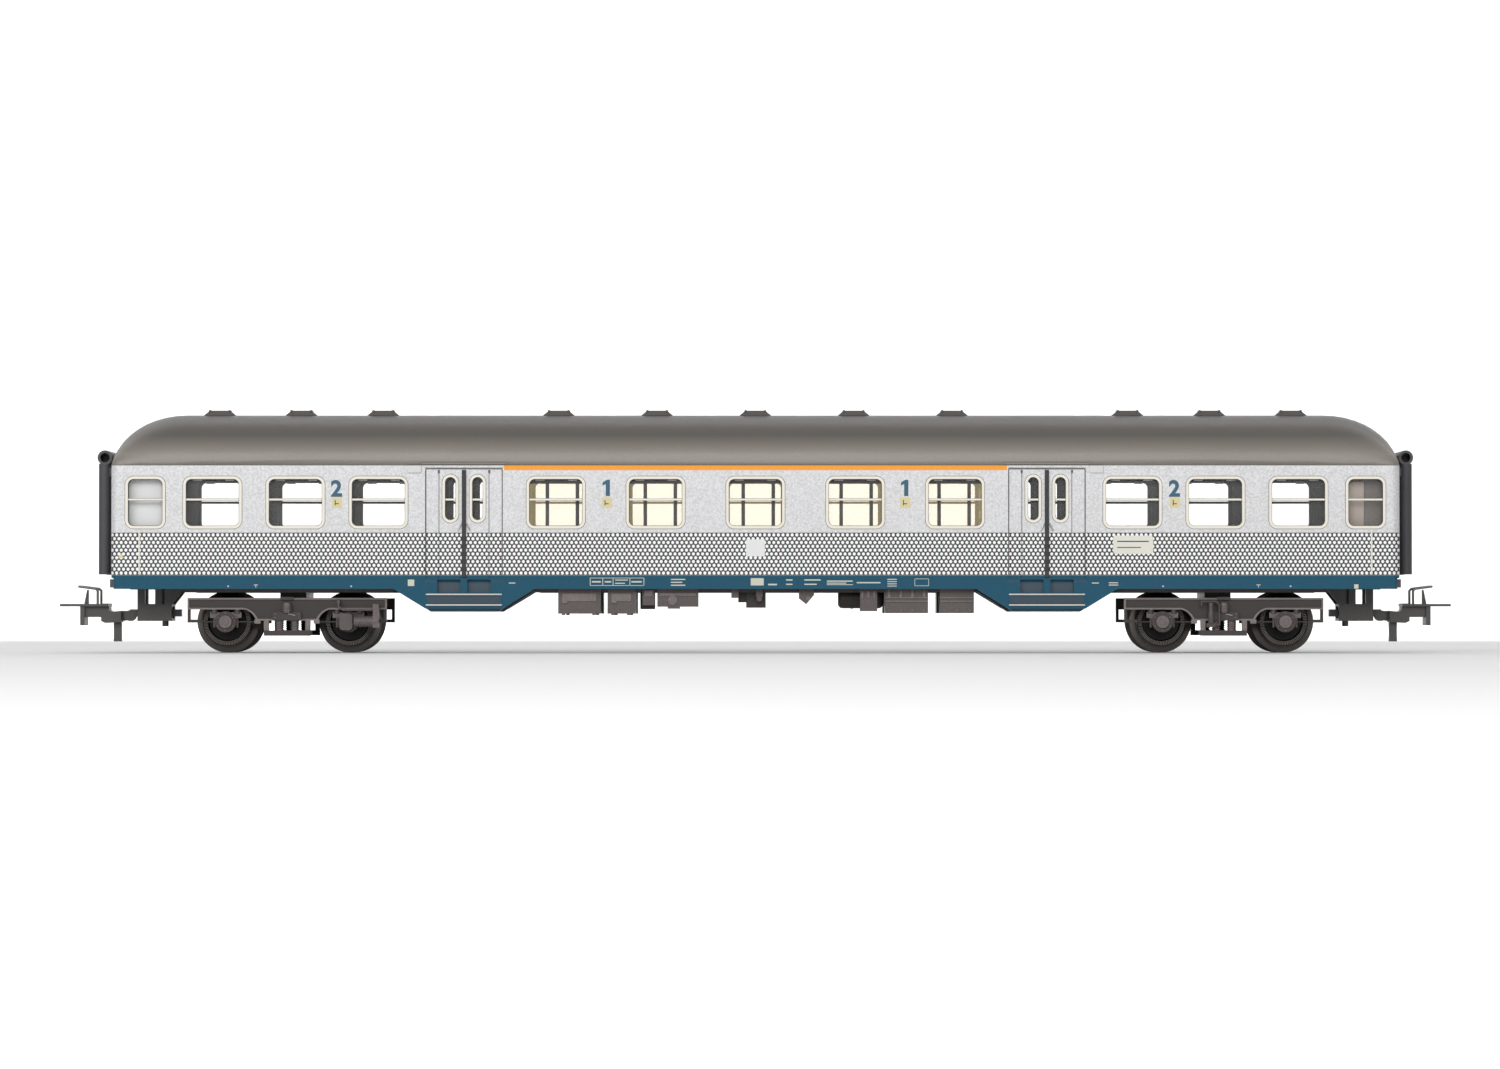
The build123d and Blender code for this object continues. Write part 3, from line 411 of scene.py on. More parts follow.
def wheel_metal(name, centre):
    """Blackened wheel with a reeded ring on its rim whose reeds carry painted glints, and a
    polished tread.
    """
    finish = Finish(name, roughness=0.35, metallic=1.0)
    x, y, z = finish.place
    x = x - centre.x
    z = z - centre.z
    radius = (x * x + z * z).root()
    angle = z.maths("ARCTAN2", x)
    grain = finish.noise(0.3 * MM, 3.0)
    ring = radius.ramp(*RING_START) * (1 - radius.ramp(*RING_END))
    tread = radius.ramp(*TREAD_START)
    reeds = ((angle * 84 + radius * 2600).maths("SINE") * 0.5 + 0.5).ramp(0.25, 0.7)
    dark = finish.mix(grain, (0.010, 0.0095, 0.01), (0.028, 0.026, 0.026))
    # painted glints: the ring is as dark as the web between the reeds and bright along them
    glinting_ring = finish.mix(reeds, (0.017, 0.015, 0.014), (0.13, 0.12, 0.11))
    colour = finish.mix(ring, dark, glinting_ring)
    worn = finish.mix(grain, (0.09, 0.082, 0.076), (0.17, 0.155, 0.145))
    finish.colour(finish.mix(tread, colour, worn))
    finish.feed("Roughness", grain * 0.15 + 0.3)
    finish.relief(reeds * ring, 0.05 * MM, 0.8)
    return finish.material


# ---- mesh building
def as_mesh(made, name):
    """A mesh from a bmesh, which is freed."""
    mesh = bpy.data.meshes.new(name)
    made.to_mesh(mesh)
    made.free()
    return mesh


def new_verts(grown):
    """The vertices in what a bmesh operator returned."""
    return [item for item in grown if isinstance(item, bmesh.types.BMVert)]


def new_edges(grown):
    """The edges in what a bmesh operator returned."""
    return [item for item in grown if isinstance(item, bmesh.types.BMEdge)]


def ease(made, width, segments=1, edges=None):
    """Rounds edges of a bmesh, all of them unless some are given; the width is in mm."""
    bmesh.ops.bevel(made, geom=edges or made.edges[:], offset=width * MM, affect="EDGES",
                    segments=segments, profile=0.5, material=-1)


def piece(name, mesh_maker, body, material, smooth_angle=35.0):
    """A finished object at the origin from a bmesh, riding on a body of the frame."""
    made = bmesh.new()
    mesh_maker(made)
    bmesh.ops.recalc_face_normals(made, faces=made.faces)
    return dress(name, as_mesh(made, name), body, material, smooth_angle=smooth_angle)


def dress(name, mesh, body, material, stands_for=(), smooth_angle=35.0):
    """Puts a mesh in the scene as a piece, with its finish and body."""
    mesh.polygons.foreach_set("use_smooth", [True] * len(mesh.polygons))
    mesh.set_sharp_from_angle(angle=math.radians(smooth_angle))
    mesh.materials.clear()
    mesh.materials.append(material)
    made = bpy.data.objects.new(name, mesh)
    bpy.context.scene.collection.objects.link(made)
    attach(made, body)
    if stands_for:
        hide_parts(*stands_for)
    return made


def body_of(node):
    """The body of the frame that a CAD node belongs to."""
    return next(b for b, nodes in frame["record"]["behaviour"]["bodies"].items() if node in nodes)


def eased(node, material, width=None, segments=2, smooth_angle=35.0, flat=True):
    """The CAD node's form with its loose triangles joined and its sharp edges eased."""
    sizes = bpy.context.scene.coach_sizes
    joined = bmesh.new()
    joined.from_mesh(frame["nodes"][node].data)
    bmesh.ops.remove_doubles(joined, verts=joined.verts, dist=0.002 * MM)
    if flat:
        bmesh.ops.dissolve_limit(joined, angle_limit=math.radians(0.5), verts=joined.verts,
                                 edges=joined.edges)
    made = dress(f"{node}_finish", as_mesh(joined, f"{node}_finish"), body_of(node), material,
                 (node,), smooth_angle)
    width = sizes.edge if width is None else width
    if width:
        bevel = made.modifiers.new("Eased edges", "BEVEL")
        bevel.width = width
        bevel.segments = segments
        bevel.limit_method = "ANGLE"
        bevel.angle_limit = math.radians(40)
        flat_faces = made.modifiers.new("Flat faces", "WEIGHTED_NORMAL")
        flat_faces.weight = 100
    return made


def bare(node, material):
    """Gives a CAD node a finish and leaves its form as it is."""
    held = frame["nodes"][node].data
    held.materials.clear()
    held.materials.append(material)


def add_block(made, low, high):
    """Adds a block between two corners to a bmesh."""
    low, high = Vector(low), Vector(high)
    place = Matrix.Translation((low + high) / 2) @ Matrix.Diagonal((*(high - low), 1))
    return bmesh.ops.create_cube(made, size=1, matrix=place)["verts"]


def add_rod(made, start, end, radius, segments=20, tip=None):
    """Adds a round bar between two places to a bmesh."""
    start, end = Vector(start), Vector(end)
    run = end - start
    turn = run.to_track_quat("Z", "Y").to_matrix().to_4x4()
    bmesh.ops.create_cone(made, cap_ends=True, segments=segments, radius1=radius,
                          radius2=radius if tip is None else tip, depth=run.length,
                          matrix=Matrix.Translation((start + end) / 2) @ turn)


class CoachOperator(bpy.types.Operator):
    """Shared by the coach's operators."""
    bl_options = {"REGISTER", "UNDO"}

    @property
    def sizes(self):
        """The scene's coach sizes."""
        return bpy.context.scene.coach_sizes

    @property
    def colours(self):
        """The scene's coach colours."""
        return bpy.context.scene.coach_colours


class COACH_OT_stage(CoachOperator):
    """Adds the pale floor, the studio light and the camera"""
    bl_idname = "coach.stage"
    bl_label = "Stage"

    floor_half = 3.2
    sweep = 0.8
    wall_height = 1.2
    camera_back = 1.146
    camera_height = 8.0 * MM
    aim_height = 24.2 * MM
    lens = 134.0
    daylight = 0.42
    lamps = (                    # name, place, target, width and height, watts
        ("key", (-0.35, -1.45, 0.68), (0, 0, 0.03), (2.2, 0.7), 20),
        ("rim", (0.1, 0.75, 0.8), (0, 0, 0.05), (2.0, 0.15), 3),
        ("backdrop", (0, 0.9, 1.6), (0, 4.2, 0.6), (2.0, 2.0), 120))

    def execute(self, context):
        made = bmesh.new()
        reach = self.floor_half
        ends = [made.verts.new((x, -reach, 0)) for x in (-reach, reach)]
        edge = made.edges.new(ends)
        grown = bmesh.ops.extrude_edge_only(made, edges=[edge])["geom"]
        bmesh.ops.translate(made, verts=new_verts(grown), vec=(0, 2 * reach, 0))
        turned = bmesh.ops.spin(made, geom=new_edges(grown), cent=(0, reach, self.sweep),
                                axis=(1, 0, 0), angle=math.radians(90), steps=16)["geom_last"]
        grown = bmesh.ops.extrude_edge_only(made, edges=new_edges(turned))["geom"]
        bmesh.ops.translate(made, verts=new_verts(grown), vec=(0, 0, self.wall_height))
        mesh = as_mesh(made, "studio_floor")
        mesh.polygons.foreach_set("use_smooth", [True] * len(mesh.polygons))
        paper = Finish("Studio paper", roughness=0.8)
        drift = paper.noise(0.4, 2.0)
        paper.colour(paper.mix(drift, (0.87, 0.87, 0.87), (0.9, 0.9, 0.9)))
        mesh.materials.append(paper.material)
        floor = bpy.data.objects.new("studio_floor", mesh)
        context.scene.collection.objects.link(floor)

        for lamp in self.lamps:
            self.lamp(*lamp)
        world = bpy.data.worlds.new("Studio")
        world.use_nodes = True
        world.node_tree.nodes["Background"].inputs["Color"].default_value = (1, 1, 1, 1)
        world.node_tree.nodes["Background"].inputs["Strength"].default_value = self.daylight
        context.scene.world = world
        context.scene.view_settings.view_transform = "Standard"

        camera = bpy.data.cameras.new("Camera")
        camera.lens = self.lens
        camera.sensor_width = 36.0
        camera.clip_start = 0.02
        camera.clip_end = 30.0
        eye = Vector((-1.1 * MM, -self.camera_back, self.camera_height))
        aim = Vector((-1.1 * MM, 0, self.aim_height))
        holder = bpy.data.objects.new("Camera", camera)
        holder.location = eye
        holder.rotation_euler = (aim - eye).to_track_quat("-Z", "Y").to_euler()
        context.scene.collection.objects.link(holder)
        context.scene.camera = holder
        return {"FINISHED"}

    @staticmethod
    def lamp(name, place, target, size, power):
        """A soft light of the given width and height, aimed at a target."""
        light = bpy.data.lights.new(name, "AREA")
        light.shape = "RECTANGLE"
        light.size, light.size_y = size
        light.energy = power
        holder = bpy.data.objects.new(name, light)
        holder.location = place
        aim = Vector(target) - Vector(place)
        holder.rotation_euler = aim.to_track_quat("-Z", "Y").to_euler()
        bpy.context.scene.collection.objects.link(holder)


class COACH_OT_body(CoachOperator):
    """Finishes the body shell, roof, windows and the small pieces outside them"""
    bl_idname = "coach.body"
    bl_label = "Body and roof"

    def execute(self, context):
        silver = silver_sides("Silver sides", self.sizes, self.colours)
        roof = roof_grey("Roof grey", self.colours)
        cream = moulded("Window cream", self.colours.cream, 0.35, 0.05)
        # also the dark of the painted shadow round the window frames
        rubber = moulded("Black rubber and gap shadow", (0.022, 0.022, 0.024), 0.55, 0.2)
        pale = moulded("Sign white", (0.62, 0.62, 0.62), 0.45, 0.06)
        eased("body_shell", silver, 0.07 * MM)
        eased("roof", roof, 0, smooth_angle=50, flat=False)
        eased("roof_vents", roof)
        eased("rain_gutters", roof)
        eased("destination_boxes", pale)
        eased("handrails", cream)
        eased("door_seals", rubber, 0.12 * MM)
        for side in ("left", "right"):
            eased(f"window_frames_{side}", cream, 0.13 * MM, 3)
            # painted shadow in the gap round the frames
            self.seal(side, rubber)
        bare("glazing_right", clear("Clear panes", (0.97, 0.98, 0.97)))
        # the first-class panes also carry a painted glow
        bare("glazing_left", clear("Tinted panes with painted glow", (0.97, 0.98, 0.97), (1.0, 0.79, 0.35)))
        return {"FINISHED"}

    @staticmethod
    def seal(side, material):
        """A dark copy of the frame, set just behind it, that shows as a thin line of painted
        shadow in the gap round every window frame.
        """
        def grown(made):
            made.from_mesh(frame["nodes"][f"window_frames_{side}"].data)
            bmesh.ops.remove_doubles(made, verts=made.verts, dist=0.002 * MM)
            bmesh.ops.dissolve_limit(made, angle_limit=math.radians(0.5), verts=made.verts,
                                     edges=made.edges)
            made.normal_update()
            outward = 1 if side == "left" else -1
            for vert in made.verts:
                across = Vector((vert.normal.x, 0, vert.normal.z)).normalized()
                vert.co += across * 0.09 * MM
                vert.co.y -= outward * 0.1 * MM
        piece(f"window_gap_shadows_{side}", grown, "coach", material)


class COACH_OT_ends(CoachOperator):
    """Finishes the gangways and end doors"""
    bl_idname = "coach.ends"
    bl_label = "Ends"

    def execute(self, context):
        rubber = moulded("Gangway rubber", (0.05, 0.05, 0.055), 0.5, 0.2)
        grey = moulded("End door grey", (0.16, 0.15, 0.145), 0.5)
        for end in ("front", "rear"):
            eased(f"gangway_{end}", rubber, 0.1 * MM)
        eased("end_doors", grey)
        return {"FINISHED"}


class COACH_OT_underframe(CoachOperator):
    """Finishes the skirts, steps, chassis plate and the equipment under the floor"""
    bl_idname = "coach.underframe"
    bl_label = "Underframe"

    # depths and how pale each is, as painted light: painted shade deep under the floor, painted
    # highlights on the boxes' outer faces and relief
    box_painted_light = ((11 * MM, 0.5), (13.5 * MM, 0.8), (13.95 * MM, 1.75), (14.05 * MM, 1.85),
                  (14.2 * MM, 3.0))

    def execute(self, context):
        blue = plain_blue("Skirt blue", self.colours)
        dark = painted_depth_light("Underfloor brown", self.colours.dark, 0.42, self.box_painted_light)
        shadow = moulded("Step blue-grey", (0.03, 0.06, 0.085), 0.5)
        metal = moulded("Step edges", (0.55, 0.53, 0.5), 0.35)
        eased("underframe", blue)
        eased("step_boxes", shadow)
        eased("step_treads", metal)
        for node in ("chassis_plate", "headstocks", "battery_boxes", "valve_box", "converter_box",
                     "brake_unit", "brake_valve", "hanger_bracket", "air_tank", "relay_box",
                     "lockers"):
            eased(node, dark)
        return {"FINISHED"}


class COACH_OT_interior(CoachOperator):
    """Finishes the floor, seats, partitions and corridor wall"""
    bl_idname = "coach.interior"
    bl_label = "Interior"

    def execute(self, context):
        grey = moulded("Interior grey", (0.10, 0.086, 0.074), 0.65, 0.05, 0.002 * MM)
        brown = moulded("Second class seats", (0.20, 0.12, 0.08), 0.65)
        cream = moulded("First class seats", (0.55, 0.47, 0.36), 0.6)
        steel = bright_steel("Ballast steel", 0.4)
        for node in ("floor", "partitions", "corridor_wall"):
            eased(node, grey)
        eased("seats_second", brown, 0.3 * MM, 3)
        eased("seats_first", cream, 0.3 * MM, 3)
        eased("ballast_plate", steel)
        return {"FINISHED"}


class COACH_OT_bogies(CoachOperator):
    """Finishes the bogies, their springs and fittings"""
    bl_idname = "coach.bogies"
    bl_label = "Bogies"

    # depths and how pale each is, as painted light: painted shade in the frames' pockets, painted
    # highlights on their rims and outer caps
    frame_painted_light = ((11 * MM, 0.2), (12.8 * MM, 0.25), (13.1 * MM, 0.7), (13.32 * MM, 0.75),
                    (13.46 * MM, 3.4), (13.58 * MM, 3.0), (13.8 * MM, 0.9), (14.2 * MM, 0.95),
                    (14.38 * MM, 2.6))
    # depths and how pale each is, as painted light: painted shade deep in, painted highlights on
    # the outermost faces
    gear_painted_light = ((13.5 * MM, 0.5), (14.3 * MM, 0.8), (15.2 * MM, 1.5), (16.2 * MM, 2.4))

    def execute(self, context):
        dark = painted_depth_light("Bogie brown", self.colours.dark, 0.4, self.frame_painted_light)
        outer = painted_depth_light("Outer gear brown", self.colours.dark, 0.4, self.gear_painted_light)
        steel = bright_steel("Screw steel")
        for end in ("front", "rear"):
            eased(f"bogie_frame_{end}", dark)
            eased(f"spring_plank_{end}", dark)
        eased("generator", outer, 0.05 * MM)
        eased("damper", outer, 0.05 * MM)
        eased("pivot_screws", steel)
        return {"FINISHED"}


class COACH_OT_wheels(CoachOperator):
    """Finishes the wheels and axles"""
    bl_idname = "coach.wheels"
    bl_label = "Wheelsets"

    def execute(self, context):
        steel = bright_steel("Axle steel", 0.3)
        for number in range(1, 5):
            low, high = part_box(f"axle_{number}")
            metal = wheel_metal(f"Wheel {number}", (low + high) / 2)
            eased(f"wheels_{number}", metal, 0, smooth_angle=25, flat=False)
            eased(f"axle_{number}", steel, 0, flat=False)
        return {"FINISHED"}


class COACH_OT_couplers(CoachOperator):
    """Finishes the couplers at both ends"""
    bl_idname = "coach.couplers"
    bl_label = "Couplers"

    def execute(self, context):
        dark = moulded("Coupler grey", (0.06, 0.056, 0.054), 0.42, 0.18)
        metal = bright_steel("Loop metal", 0.16, 0.4)
        spring = bright_steel("Spring steel", 0.5)
        for end in ("front", "rear"):
            eased(f"coupler_guide_{end}", dark)
            eased(f"coupler_shank_{end}", dark)
            eased(f"coupler_head_{end}", dark)
            eased(f"coupler_loop_{end}", metal, 0, flat=False)
            eased(f"coupler_spring_{end}", spring, 0.04 * MM)
        return {"FINISHED"}


# ---- places on the coach that several pieces share
CLASS_NUMERALS = {"2": (-84.8, 84.8), "1": (-30.2, 30.2)}
WINDOWS = [*(20.2 * i for i in range(-2, 3)),
           *(s * (76.3 + 16.8 * i) for s in SIDES for i in range(3))]
END_WINDOWS = (-123.5, 123.5)
DOORS = (-59.0, 59.0)
BAND_PLATES = (                  # x from, x to, z from, z to, over the rail
    # a framed table with three dividers, and the bars in it
    (-33.5, -22.5, 12.45, 12.56), (-33.5, -22.5, 13.96, 14.07),
    (-33.5, -33.36, 12.45, 14.07), (-22.64, -22.5, 12.45, 14.07),
    (-30.97, -30.83, 12.45, 14.07), (-28.87, -28.73, 12.45, 14.07), (-25.47, -25.33, 12.45, 14.07),
    (-33.1, -31.3, 13.1, 13.4), (-30.5, -29.2, 13.1, 13.4), (-28.4, -25.8, 13.5, 13.7),
    (-28.4, -26.4, 12.85, 13.05), (-25.1, -23.0, 13.1, 13.4),
    # bars and a block along the middle
    (-17.1, -14.2, 13.62, 13.84), (-17.1, -14.8, 13.03, 13.25), (-17.1, -14.2, 12.45, 12.67),
    (-0.95, 1.67, 12.52, 14.05), (2.56, 4.36, 12.55, 12.85),
    (6.2, 7.5, 13.5, 13.75), (6.2, 7.5, 12.63, 12.86),
    (9.9, 13.2, 13.5, 13.75), (9.9, 12.4, 12.63, 12.86),
    (14.45, 19.7, 13.28, 13.5), (14.45, 18.4, 12.9, 13.08), (14.45, 19.7, 12.6, 12.74),
    (20.5, 25.3, 12.95, 13.2), (26.7, 28.6, 13.64, 13.84), (26.7, 28.6, 13.2, 13.36),
    (26.7, 28.6, 12.75, 12.91), (26.7, 28.6, 12.3, 12.46),
    # an empty frame
    (32.2, 35.1, 12.4, 12.5), (32.2, 35.1, 13.8, 13.9), (32.2, 32.3, 12.4, 13.9),
    (35.0, 35.1, 12.4, 13.9),
    # small marks beside the steps
    (-70.35, -69.05, 12.4, 13.7), (-49.9, -48.6, 12.9, 13.1), (68.1, 69.5, 12.9, 13.1),
    (71.5, 73.4, 12.5, 12.7), (71.5, 73.4, 12.95, 13.15),
    # lifting marks over the bogies, and a square at the end
    (-106.85, -106.55, 12.2, 12.5), (-101.5, -100.7, 12.55, 12.7), (-101.17, -101.03, 12.1, 12.6),
    (-81.95, -81.65, 12.2, 12.5), (82.35, 82.65, 12.2, 12.5), (101.4, 102.2, 12.55, 12.7),
    (101.73, 101.87, 12.1, 12.6), (108.15, 108.45, 12.2, 12.5), (121.17, 122.03, 11.87, 12.73))
BOGIES = {"rear": -95.0, "front": 95.0}
WHEELBASE = 24.9
AXLE_HEIGHT = 5.15               # over the rail
FRAME_OUT = 13.5                 # outer face of the side frames from the middle
SPRING_LINE = 12.9
BOLT_CIRCLE = 1.72


def at(x, y, z):
    """A place from x and y in mm and z in mm over the rail."""
    return Vector((x * MM, y * MM, RAIL + z * MM))


def inside(depth):
    """Y in mm at a depth in mm behind the right side."""
    return depth - HALF_WIDTH / MM


def axle_boxes(x):
    """The side and the x of the four axle boxes of the bogie at x."""
    return [(side, x + s * WHEELBASE / 2) for side in SIDES for s in SIDES]


def surface(x, z, *nodes):
    """Y in mm of the nodes' outermost face on the right side, at x and z in mm over the rail."""
    found = [tree(node).ray_cast(at(x, -100, z), Vector((0, 1, 0)))[0] for node in nodes]
    found = [place.y / MM for place in found if place]
    if not found:
        raise ValueError(f"nothing to carry a mark at {x}, {z}")
    return min(found)


trees = {}


def tree(node):
    """A search tree over a CAD node's faces."""
    if node not in trees:
        form = bmesh.new()
        form.from_mesh(frame["nodes"][node].data)
        trees[node] = BVHTree.FromBMesh(form)
        form.free()
    return trees[node]


def plate(made, x, z, nodes, proud=0.03, sunk=0.05):
    """A thin raised plate on the right side; x and z are spans in mm, z over the rail."""
    face = surface((x[0] + x[1]) / 2, (z[0] + z[1]) / 2, *nodes)
    add_block(made, at(x[0], face - proud, z[0]), at(x[1], face + sunk, z[1]))


def both_sides(made):
    """Repeats the pieces on the coach's other side, turned half round about the middle."""
    copied = bmesh.ops.duplicate(made, geom=made.verts[:] + made.edges[:] + made.faces[:])
    bmesh.ops.rotate(made, verts=new_verts(copied["geom"]), cent=(0, 0, 0),
                     matrix=Matrix.Rotation(math.pi, 3, "Z"))


def side_piece(name, mesh_maker, material):
    """A piece on the coach's body that its maker draws on one side and the other side repeats."""
    def both(made):
        mesh_maker(made)
        both_sides(made)
    return piece(name, both, "coach", material)


class COACH_OT_marks(CoachOperator):
    """Adds the class numerals, compartment signs, boards and plain marks"""
    bl_idname = "coach.marks"
    bl_label = "Marks"

    def execute(self, context):
        cream = moulded("Mark cream", (0.56, 0.56, 0.47), 0.5, 0.05)
        blue = moulded("Numeral blue", self.colours.numeral, 0.45, 0.08)
        yellow = moulded("Sign yellow", self.colours.yellow, 0.45, 0.06)
        pale = moulded("Plate pale", (0.72, 0.72, 0.73), 0.45, 0.05)
        board = moulded("Board cream", (0.70, 0.68, 0.60), 0.45, 0.05)
        side_piece("band_marks", self.band, cream)
        side_piece("compartment_signs", self.signs, yellow)
        side_piece("sign_figures", self.sign_figures, blue)
        side_piece("blank_plates", self.blank_plates, pale)
        side_piece("route_boards", self.boards, board)
        side_piece("board_lines", self.board_lines, blue)
        side_piece("warning_triangles", self.triangles, yellow)
        self.numerals(blue)
        return {"FINISHED"}

    @staticmethod
    def band(made):
        """Blocks, frames and bars on the blue band."""
        for low_x, high_x, low_z, high_z in BAND_PLATES:
            plate(made, (low_x, high_x), (low_z, high_z),
                  ("underframe", "step_boxes", "body_shell"), 0.02)

    @staticmethod
    def sign_places():
        """X of the small square signs under the numerals."""
        return [x + 0.1 for places in CLASS_NUMERALS.values() for x in places]

    def signs(self, made):
        """The square signs themselves."""
        for x in self.sign_places():
            plate(made, (x - 1.05, x + 1.05), (28.2, 30.3), ("body_shell",))

    def sign_figures(self, made):
        """A plain seat shape on each sign."""
        for x in self.sign_places():
            plate(made, (x - 0.45, x - 0.25), (28.7, 29.8), ("body_shell",), 0.05)
            plate(made, (x - 0.35, x + 0.4), (28.95, 29.15), ("body_shell",), 0.05)

    @staticmethod
    def boards(made):
        """A route board with rounded corners on the rows of discs."""
        plate(made, (72.4, 80.5), (18.9, 22.6), ("body_shell",), 0.06)
        corners = [edge for edge in made.edges
                   if abs((edge.verts[0].co - edge.verts[1].co).normalized().y) > 0.99]
        ease(made, 0.55, 5, corners)

    @staticmethod
    def blank_plates(made):
        """A blank square plate in the middle of each side."""
        plate(made, (-1.9, 1.9), (18.4, 21.8), ("body_shell",), 0.06)

    @staticmethod
    def board_lines(made):
        """Two plain bars on the route board."""
        for low_z, high_z, end in ((21.3, 21.55, 79.6), (20.1, 20.3, 78.0)):
            plate(made, (73.2, end), (low_z, high_z), ("body_shell",), 0.08)

    @staticmethod
    def triangles(made):
        """A three-sided sign near a corner of the body, and a dot on the mark at the other end."""
        x, z = -128.4, 18.4
        place = Matrix.Translation(at(x, surface(x, z, "body_shell") - 0.01, z))
        turn = Matrix.Rotation(math.pi / 2, 4, "X")
        bmesh.ops.create_cone(made, cap_ends=True, segments=3, radius1=0.7 * MM,
                              radius2=0.7 * MM, depth=0.06 * MM, matrix=place @ turn)
        plate(made, (121.38, 121.82), (12.08, 12.52), ("underframe", "body_shell"), 0.05)

    @staticmethod
    def numerals(material):
        """Class numerals on both sides, each a thin mesh stood up against the body."""
        for figure, places in CLASS_NUMERALS.items():
            maker = COACH_OT_marks.figure_two if figure == "2" else COACH_OT_marks.figure_one
            for number, x in enumerate(places, start=1):
                for side, label in zip(SIDES, ("right", "left")):
                    mesh = maker()
                    turn = (Matrix.Rotation(math.pi / 2 * (1 + side), 4, "Z")
                            @ Matrix.Rotation(math.pi / 2, 4, "X"))
                    place = at(x, -side * surface(x, 32, "body_shell"), 30.6)
                    mesh.transform(Matrix.Translation(place) @ turn)
                    dress(f"class_{figure}_{number}_{label}", mesh, "coach", material)

    @staticmethod
    def figure_two():
        """The figure 2, as text turned into a mesh."""
        curve = bpy.data.curves.new("figure", "FONT")
        curve.body = "2"
        curve.size = 4.5 * MM
        curve.offset = 0.16 * MM
        curve.extrude = 0.02 * MM
        curve.align_x = "CENTER"
        holder = bpy.data.objects.new("figure", curve)
        mesh = bpy.data.meshes.new_from_object(holder)
        bpy.data.objects.remove(holder)
        bpy.data.curves.remove(curve)
        return mesh

    @staticmethod
    def figure_one():
        """The figure 1: a stem with a short flag."""
        made = bmesh.new()
        outline = ((-0.1, 0), (0.75, 0), (0.75, 3.3), (0.1, 3.3), (-0.75, 2.75), (-0.75, 2.1),
                   (-0.1, 2.45))
        face = made.faces.new([made.verts.new((x * MM, y * MM, 0.02 * MM)) for x, y in outline])
        grown = bmesh.ops.extrude_face_region(made, geom=[face])["geom"]
        bmesh.ops.translate(made, verts=new_verts(grown), vec=(0, 0, -0.04 * MM))
        bmesh.ops.recalc_face_normals(made, faces=made.faces)
        return as_mesh(made, "figure")


class COACH_OT_fittings(CoachOperator):
    """Adds door handles and joints, step risers, window clips, frosted panes and lobby doors"""
    bl_idname = "coach.fittings"
    bl_label = "Small body fittings"

    def execute(self, context):
        cream = moulded("Clip cream", (0.70, 0.67, 0.58), 0.4, 0.06)
        steel = bright_steel("Handle steel", 0.5)
        frosted = moulded("Frosted pane", (0.75, 0.75, 0.75), 0.55, 0.03, 0.002 * MM)
        line = moulded("Joint line", (0.10, 0.095, 0.09), 0.6, 0.1)
        riser = moulded("Step riser", (0.022, 0.045, 0.068), 0.4, 0.15)
        side_piece("door_handles", self.handles, steel)
        side_piece("door_joints", self.joints, line)
        side_piece("step_risers", self.risers, riser)
        side_piece("window_clips", self.clips, cream)
        side_piece("frosted_panes", self.panes, frosted)
        beige = moulded("Lobby beige", (0.44, 0.35, 0.29), 0.5, 0.06, 0.004 * MM)
        brown = moulded("Lobby brown", (0.10, 0.075, 0.062), 0.5, 0.1, 0.004 * MM)
        side_piece("lobby_doors", self.lobby_doors, beige)
        side_piece("lobby_walls", self.lobby_walls, brown)
        return {"FINISHED"}

    @staticmethod
    def handles(made):
        """A slanted grip on a round foot on each door leaf."""
        for x in DOORS:
            for s in SIDES:
                face = surface(x + s * 0.9, 24.2, "body_shell", "door_seals") - 0.16
                foot = at(x + s * 0.62, face, 24.9)
                add_rod(made, foot, at(x + s * 1.25, face, 23.6), 0.16 * MM, 10)
                add_rod(made, foot, foot + Vector((0, 0.3 * MM, 0)), 0.2 * MM, 12)
        ease(made, 0.03)

    @staticmethod
    def joints(made):
        """Fine dark joints along the door grooves and round the door recess."""
        for x in DOORS:
            for s, wide in ((-5.0, 0.09), (5.0, 0.09), (-7.75, 0.12), (7.75, 0.12)):
                plate(made, (x + s - wide, x + s + wide), (14.7, 36.0), ("body_shell",), 0.01)
            plate(made, (x - 7.75, x + 7.75), (36.0, 36.25), ("body_shell",), 0.01)
            for s in (-5.1, 5.1):
                plate(made, (x + s - 0.2, x + s + 0.2), (35.3, 35.9), ("body_shell",), 0.1)

    @staticmethod
    def risers(made):
        """Dark risers between the treads, and the slots beside the step recess."""
        for x in DOORS:
            plate(made, (x - 7.4, x + 7.4), (8.95, 10.3), ("underframe", "step_boxes"), 0.02)
            for s in (-6.8, 6.8):
                plate(made, (x + s - 1.2, x + s + 1.2), (13.2, 13.5),
                      ("underframe", "step_boxes"), 0.02)

    @staticmethod
    def clips(made):
        """Pale clips that hold the panes, inside at the top of every window."""
        for x in WINDOWS:
            for s in SIDES:
                add_block(made, at(x + s * 3.3 - 0.9, inside(2.05), 33.75),
                          at(x + s * 3.3 + 0.9, inside(2.35), 34.3))
        ease(made, 0.06, 2)

    @staticmethod
    def panes(made):
        """Frosted panes of the washrooms, at opposite corners."""
        x = END_WINDOWS[0]
        add_block(made, at(x - 4.2, inside(2.1), 23.6), at(x + 4.2, inside(2.35), 35.0))

    @staticmethod
    def lobby_doors(made):
        """Pale doors with eased edges behind the clear end windows."""
        x = END_WINDOWS[1]
        add_block(made, at(x - 4.2, inside(2.5), 23.6), at(x - 0.1, inside(2.8), 33.6))
        ease(made, 0.1, 2)

    @staticmethod
    def lobby_walls(made):
        """Brown walls beside and over the lobby doors, with a rib down the middle."""
        x = END_WINDOWS[1]
        for low, high, depth in ((-4.2, 4.2, 2.95), (1.2, 1.5, 2.8)):
            add_block(made, at(x + low, inside(depth), 23.6), at(x + high, inside(3.2), 35.0))


